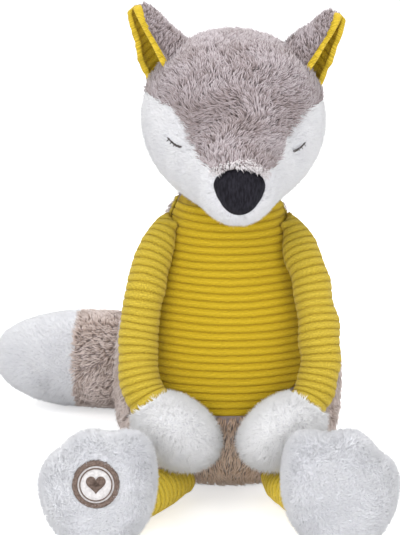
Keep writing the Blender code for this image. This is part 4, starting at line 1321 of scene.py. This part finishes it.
for label, side, leg_line in (("left", 1, LEG_LINE_LEFT), ("right", -1, LEG_LINE_RIGHT)):
    for name, body, cover, line, start, short, seed, seam in (
        ("sleeve", "arm", "sleeve", ARM_LINE, 1.0 * MM, 4.5 * MM, 21, SHOULDER_SEAM),
        # The legs take the lighter corduroy: painted light.
        ("leg", "leg", "leg_sleeve", leg_line, 4.0 * MM, 5.0 * MM, 31, 0.0),
    ):
        body = f"{body}_{label}"
        tube = ribbed_tube(
            f"{name}_{label}_corduroy", line * (side, 1, 1), skin_trees[body], start, short, seed,
            corduroy[name], seam,
        )
        bends_with()(tube)
        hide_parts(f"{cover}_{label}")
        print(tube.name, len(tube.data.polygons), "faces")

# %% [markdown]
# ## Ears
#
# Each ear is a deep folded leaf: grey plush outside, and a corduroy lining that is turned over the edge,
# so that a lumpy yellow band runs along the flap. Plane leaves with Solidify would give a hard, even rim.
# A loft does better: one closed outline, outside, round the rim, inside and round the other rim, is
# carried up the ear's line and narrowed to the tip. The wales cross the lining on a slant.

# %% A closed form from a grid of points
def closed_form(name, points, finishes, slot_of=None, phases=None, widths=None):
    """A laid grid whose first and last columns meet, and that an end row of one point closes. slot_of
    gives each face's finish from its row and column."""
    made, face_row, face_column = laid_grid(name, points, phases, widths)
    for finish in finishes:
        made.data.materials.append(finish)
    if slot_of is not None:
        index = slot_of(face_row, face_column)
        made.data.polygons.foreach_set("material_index", index.astype(np.int32))
    merge_close(made, face_out=True)
    bpy.ops.object.shade_smooth()
    return made


# %% Build the ears
EAR_RISE = 43.0 * MM
EAR_RADIUS = 16.4 * MM
EAR_LEAN = math.radians(31)
EAR_TURN = math.radians(62)
EAR_ARC = math.radians(124)
EAR_WALL = 2.6 * MM
EAR_BAND = 2.0 * MM
EAR_BACK_BAND = 5.0 * MM
EAR_TIP_BAND = 3.0 * MM
EAR_TIP_START = 0.8
EAR_LUMP = 2.8 * MM
EAR_BAND_RISE = 0.7 * MM
EAR_SLANT = 0.1
EAR_WALE_SHARE = 0.6
EAR_ROWS = 104
EAR_ROUGH, EAR_ROUGH_SIZE, EAR_ROUGH_SEED = 0.5 * MM, 20.0 * MM, 41
EAR_LUMP_SEED = 43
EAR_TIP_CAP = 0.6 * MM
WALL_SHARE = 0.8
WALE_MOST_SHARE = 0.4
EAR_BASE = np.array((37.5, 0.0, 242.5)) * MM
EAR_SHARES = np.array(
    [(-0.25, 1.0), (0.0, 0.99), (0.2, 0.92), (0.4, 0.79), (0.6, 0.64),
     (0.78, 0.51), (0.9, 0.42), (0.97, 0.32), (1.0, 0.2)]
)
OUTER_COLUMNS, RIM_COLUMNS, INNER_COLUMNS = 52, 7, 64


def ear_form(label, side):
    """One ear's leaf. Its columns run over the outside from the front flap's edge to the back flap's,
    round the rim, back over the lining, and round the front rim."""
    up = np.array((side * math.sin(EAR_LEAN), 0.0, math.cos(EAR_LEAN)))
    opening = np.array((side * math.sin(EAR_TURN), -math.cos(EAR_TURN), 0.0))
    opening = unit(opening - up * (opening @ up))
    across = np.cross(up, opening) * side
    rises = np.linspace(EAR_SHARES[0, 0], 1.0, EAR_ROWS)
    radii = EAR_RADIUS * np.interp(rises, EAR_SHARES[:, 0], EAR_SHARES[:, 1])
    turn = np.linspace(0, math.pi, RIM_COLUMNS + 2)[1:-1]
    outer = np.linspace(-EAR_ARC, EAR_ARC, OUTER_COLUMNS)
    inner = np.linspace(EAR_ARC, -EAR_ARC, INNER_COLUMNS)
    angles = np.concatenate([outer, np.full(RIM_COLUMNS, EAR_ARC), inner, np.full(RIM_COLUMNS, -EAR_ARC)])
    toward = opening * np.sin(angles)[:, None] + across * np.cos(angles)[:, None]
    away = across * np.sin(angles)[:, None] - opening * np.cos(angles)[:, None]
    half = OUTER_COLUMNS // 2
    rows, phases, widths = [], [], []
    for rise, radius in zip(rises, radii, strict=True):
        middle = EAR_BASE * (side, 1, 1) + up * rise * EAR_RISE
        phase = (rise * EAR_RISE + EAR_SLANT * radius * inner) / WALE_PITCH
        wall = min(EAR_WALL, radius * WALL_SHARE)
        to_rim = (EAR_ARC - np.abs(outer)) * radius
        lump = 1 + 0.5 * drift(middle[None], EAR_LUMP * 2, EAR_LUMP_SEED)[0]
        roll = np.clip(1 - to_rim / EAR_BAND, 0, 1) ** 0.5 * EAR_BAND_RISE * lump
        hollow = radius - wall
        lining = hollow - np.minimum(EAR_WALE_SHARE * wale_lift(phase), WALE_MOST_SHARE * hollow)
        middle_reach = radius - wall / 2
        rim = middle_reach + (wall / 2 + roll[-1]) * np.cos(turn)
        reach = np.concatenate([radius + roll, rim, lining, rim[::-1]])
        over = np.sin(turn) * wall / 2
        past = np.concatenate([np.zeros(OUTER_COLUMNS), over, np.zeros(INNER_COLUMNS), -over])
        ring = middle + away * reach[:, None] + toward * past[:, None]
        rows.append(np.concatenate([ring, ring[:1]]))
        held = phase if rise < EAR_TIP_START else held
        back, front = math.floor(held[0]) + 0.5, math.floor(held[-1]) + 0.5
        near, beyond = np.full(half, front), np.full(OUTER_COLUMNS - half + RIM_COLUMNS, back)
        phases.append(np.concatenate([near, beyond, phase, np.full(RIM_COLUMNS + 1, front)]))
        widths.append(np.append(angles * radius, -EAR_ARC * radius))
    points = np.array(rows)
    outward = unit(points - points.mean(1, keepdims=True))
    points += EAR_ROUGH * drift(points, EAR_ROUGH_SIZE, EAR_ROUGH_SEED + side)[..., None] * outward
    points[0] = points[0].mean(0)
    points[-1] = points[-1].mean(0) + up * EAR_TIP_CAP

    def slot_of(row, column):
        share = (column / (OUTER_COLUMNS - 1) * 2 - 1) * EAR_ARC
        radius = radii[np.clip(row.astype(int), 0, EAR_ROWS - 1)]
        high = np.clip(row / EAR_ROWS / EAR_TIP_START - 1, 0, 1) * EAR_TIP_BAND / (1 / EAR_TIP_START - 1)
        band = np.where(share < 0, EAR_BAND + high, EAR_BACK_BAND)
        outside = (column < OUTER_COLUMNS - 1) & ((EAR_ARC - np.abs(share)) * radius > band)
        return outside.astype(int)

    finishes = [corduroy["lining"], backing["grey"]]
    leaf = closed_form(
        f"ear_{label}_leaf", head_posed(points), finishes, slot_of, np.array(phases), np.array(widths)
    )
    return leaf, up


EAR_PER_MM2 = 1.7
EAR_PILE_LOW = 8.0 * MM
EAR_PILE_TOP = 0.97
for label, side in (("left", 1), ("right", -1)):
    leaf, up = ear_form(label, side)
    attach(leaf, "head")
    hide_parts(f"ear_{label}_lining")
    roots, normals = roots_on(leaf, lambda p: np.full(len(p), EAR_PER_MM2), slot=1)
    upright = head_upright(roots)
    seen = upright[:, 2] > EAR_BASE[2] - EAR_PILE_LOW
    seen &= (upright - EAR_BASE * (side, 1, 1)) @ up < EAR_PILE_TOP * EAR_RISE
    made = pile_pieces(
        f"ear_{label}_pile", roots[seen], normals[seen], straight(HEAD_TURNS @ up)(roots[seen]), EAR_LOOK,
        plush["grey"], rides_on("head"),
    )
    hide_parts(f"ear_{label}_outer")
    print(leaf.name, len(leaf.data.polygons), "faces")

# %% [markdown]
# ## Nose, eyes and the sole's patch
#
# The nose is a padded cap of black cloth, sewn on all round, with a fringe of longer pale tufts over
# its top. The eyes and the round patch are embroidery: short stitches side by side. A stretched ball
# can stand for a stitch, and rings of ridges for satin stitch. The nose and the patch are discs laid on
# the form below them ring by ring, so that they follow its curve. The patch shows a plain heart.

# %% The nose
NOSE_COLUMNS = 97
# Each ring's share of the outline, and how far it stands out in mm.
NOSE_RINGS = (
    (0.0, -1.5), (0.985, -1.2), (1.0, 0.6), (0.99, 1.7), (0.955, 2.6), (0.88, 3.3),
    (0.76, 3.8), (0.6, 4.15), (0.42, 4.35), (0.22, 4.45), (0.0, 4.5),
)
angles = np.linspace(0, 2 * math.pi, NOSE_COLUMNS)
rows = []
for share, out in NOSE_RINGS:
    ring = []
    for angle, reach in zip(angles, nose_radius(angles), strict=True):
        x, z = share * reach * math.cos(angle), share * reach * math.sin(angle)
        place, _ = face_place(x, NOSE_MIDDLE + z)
        ring.append(place + HEAD_TURNS @ (0, -out * MM, 0))
    rows.append(ring)
points = np.array(rows)
points[:, -1] = points[:, 0]
nose_cap = closed_form("nose_cap", points, [nose_cloth])
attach(nose_cap, "head")
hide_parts("nose")
print("nose:", len(nose_cap.data.polygons), "faces")

# %% Fringe over the nose
FRINGE_TUFTS = 380
FRINGE_LOOK = {**GREY_LOOK, "length": 7.4 * MM, "width": 0.6 * MM, "steep": 0.6, "flat": 1.1, "clump": 0.3}
FRINGE_ARC = np.radians((32, 148))
FRINGE_OUT = (0.2 * MM, 3.6 * MM)
FRINGE_AIM = np.array((0, -100.0 * MM, NOSE_MIDDLE + 0.1 * NOSE_HEIGHT))
turns = rng.uniform(*FRINGE_ARC, FRINGE_TUFTS)
outs = nose_radius(turns) + rng.uniform(*FRINGE_OUT, FRINGE_TUFTS)
spots = zip(outs * np.cos(turns), NOSE_MIDDLE + outs * np.sin(turns), strict=True)
places = [face_place(x, z) for x, z in spots]
roots = np.array([p[0] for p in places])
normals = np.array([p[1] for p in places])
toward_nose = head_posed(FRINGE_AIM) - roots
pile_pieces(
    "nose_fringe", roots, normals, toward_nose, FRINGE_LOOK, plush["pale"], rides_on("head")
)

# %% The eyes
bpy.ops.object.select_all(action="DESELECT")
bpy.ops.mesh.primitive_uv_sphere_add(segments=8, ring_count=6, radius=1.0)
pattern = bpy.context.object
stitch_points = points_of(pattern)
stitch_faces = [tuple(p.vertices) for p in pattern.data.polygons]
bpy.data.objects.remove(pattern)


def stitches(name, strokes, finish):
    """Stitches from start to end on the face, each a stretched ball lifted along facing into the pile."""
    points, faces = [], []
    for start, end, facing, width in strokes:
        start, end = start + facing * THREAD_LIFT, end + facing * THREAD_LIFT
        along = unit(end - start)
        beside = unit(np.cross(facing, along))
        reach = np.linalg.norm(end - start) / 2 + width / 2
        axes = np.array([beside * width / 2, facing * width / 2, along * reach])
        faces += [tuple(i + len(points) * len(stitch_points) for i in face) for face in stitch_faces]
        points.append(stitch_points @ axes + (start + end) / 2)
    return mesh_piece(name, np.concatenate(points), faces, finish)


EYE_STITCHES = 9
THREAD_LIFT = 2.6 * MM
EYE_ZIGZAG = 0.25 * MM
THREAD_WIDTH, THREAD_GAIN = 0.8 * MM, 0.65 * MM
# Each lash starts at one of the eye's stitches and has a length.
LASHES = ((1, 1.9 * MM), (3, 1.7 * MM), (5, 1.5 * MM))
LASH_OUT, LASH_DOWN = 0.55, 0.85
LASH_WIDTH = 0.62 * MM
for label, side in (("left", 1), ("right", -1)):
    line = eye_line(side, EYE_STITCHES + 1)
    strokes = []
    for i in range(EYE_STITCHES):
        tip = EYE_ZIGZAG if i % 2 else -EYE_ZIGZAG
        a, facing = face_place(line[i, 0], line[i, 1] + tip)
        b, _ = face_place(line[i + 1, 0], line[i + 1, 1] - tip)
        strokes.append((a, b, facing, THREAD_WIDTH + THREAD_GAIN * i / EYE_STITCHES))
    for i, length in LASHES:
        a, facing = face_place(line[i, 0], line[i, 1])
        b, _ = face_place(line[i, 0] + side * LASH_OUT * length, line[i, 1] - LASH_DOWN * length)
        strokes.append((a, b, facing, LASH_WIDTH))
    eye = stitches(f"eye_{label}_stitches", strokes, eye_thread)
    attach(eye, "head")
    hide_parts(f"eye_{label}")
    print(eye.name, len(strokes), "stitches")

# %% The round patch on the sole
SOLE_UP = np.array((0.0, math.sin(SOLE_LEAN), math.cos(SOLE_LEAN)))
RAY_START = 20 * MM
PATCH_BAND = 3.1 * MM
PATCH_LINE = 9.0 * MM
PATCH_LINE_WIDTH = 0.8 * MM
PATCH_EDGE = 0.5 * MM
PATCH_SINK = -1.0 * MM
RIDGES_FROM = 0.7
# The section of a stitched form: the share of the way across it, and the share of its height. None is
# the edge that lies sunk in the pile.
PATCH_SECTION = (
    (0, None), (0, 0.6), (0.15, 1.0), (0.5, 1.1), (0.85, 1.0), (1, 0.6), (1, None), (0, None),
)
# A heart from waves: x is a cube of a sine, z a sum of cosines.
HEART_WIDTH = 11.6 * MM
HEART_HALF = 16
HEART_WAVES = (13, -5, -2, -1)
HEART_RISE = 1.5
around = np.linspace(0, 2 * math.pi, 401)
heart_x = HEART_HALF * np.sin(around) ** 3
heart_z = sum(size * np.cos((i + 1) * around) for i, size in enumerate(HEART_WAVES)) + HEART_RISE
heart_size = np.hypot(heart_x, heart_z) * HEART_WIDTH / (2 * HEART_HALF)
heart_turn = np.arctan2(heart_z, heart_x)
heart_order = np.argsort(heart_turn)


def heart_radius(angles):
    """The heart's reach from its middle."""
    folded = np.arctan2(np.sin(angles), np.cos(angles))
    return np.interp(folded, heart_turn[heart_order], heart_size[heart_order])


def sole_place(x, z, out):
    """A point over the sole, across and up from the patch's middle."""
    start = BADGE_MIDDLE + np.array((x, 0, 0)) + SOLE_UP * z + SOLE_FACING * RAY_START
    place = skin_trees["leg_right"].ray_cast(Vector(start), Vector(-SOLE_FACING), FAR)[0]
    return np.array(place) + SOLE_FACING * out


def level(reach):
    return lambda angles: np.full(len(angles), reach)


def stitched_form(name, inner, outer, high, columns, ridge, finish):
    """A flat closed form between two reaches, with a ridge at every second column, like satin stitch."""
    angles = np.linspace(0, 2 * math.pi, columns)
    ridges = ridge * (np.arange(columns) % 2)
    rows = []
    for share, part in PATCH_SECTION:
        reach = inner(angles) + share * (outer(angles) - inner(angles))
        rise = np.full(columns, PATCH_SINK if part is None else high * part)
        if part is not None and part > RIDGES_FROM:
            rise = rise + ridges
        spots = zip(reach * np.cos(angles), reach * np.sin(angles), rise, strict=True)
        rows.append([sole_place(x, z, out) for x, z, out in spots])
    points = np.array(rows)
    points[:, -1] = points[:, 0]
    made = closed_form(name, points, [finish])
    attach(made, "leg_right")
    print(name, len(made.data.polygons), "faces")
    return made


patch = stitched_form(
    "patch_ground", level(0.0), level(BADGE_RADIUS - PATCH_EDGE), 2.2 * MM, 97, 0.0, patch_ground,
)
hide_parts("sole_badge")
for name, inner, outer, high, columns, ridge in (
    ("patch_ring", level(BADGE_RADIUS - PATCH_BAND), level(BADGE_RADIUS), 3.0 * MM, 221, 0.16 * MM),
    ("patch_line", level(PATCH_LINE - PATCH_LINE_WIDTH), level(PATCH_LINE), 2.8 * MM, 161, 0.12 * MM),
    ("patch_heart", level(0.0), heart_radius, 2.9 * MM, 161, 0.14 * MM),
):
    stitched_form(name, inner, outer, high, columns, ridge, patch_thread)
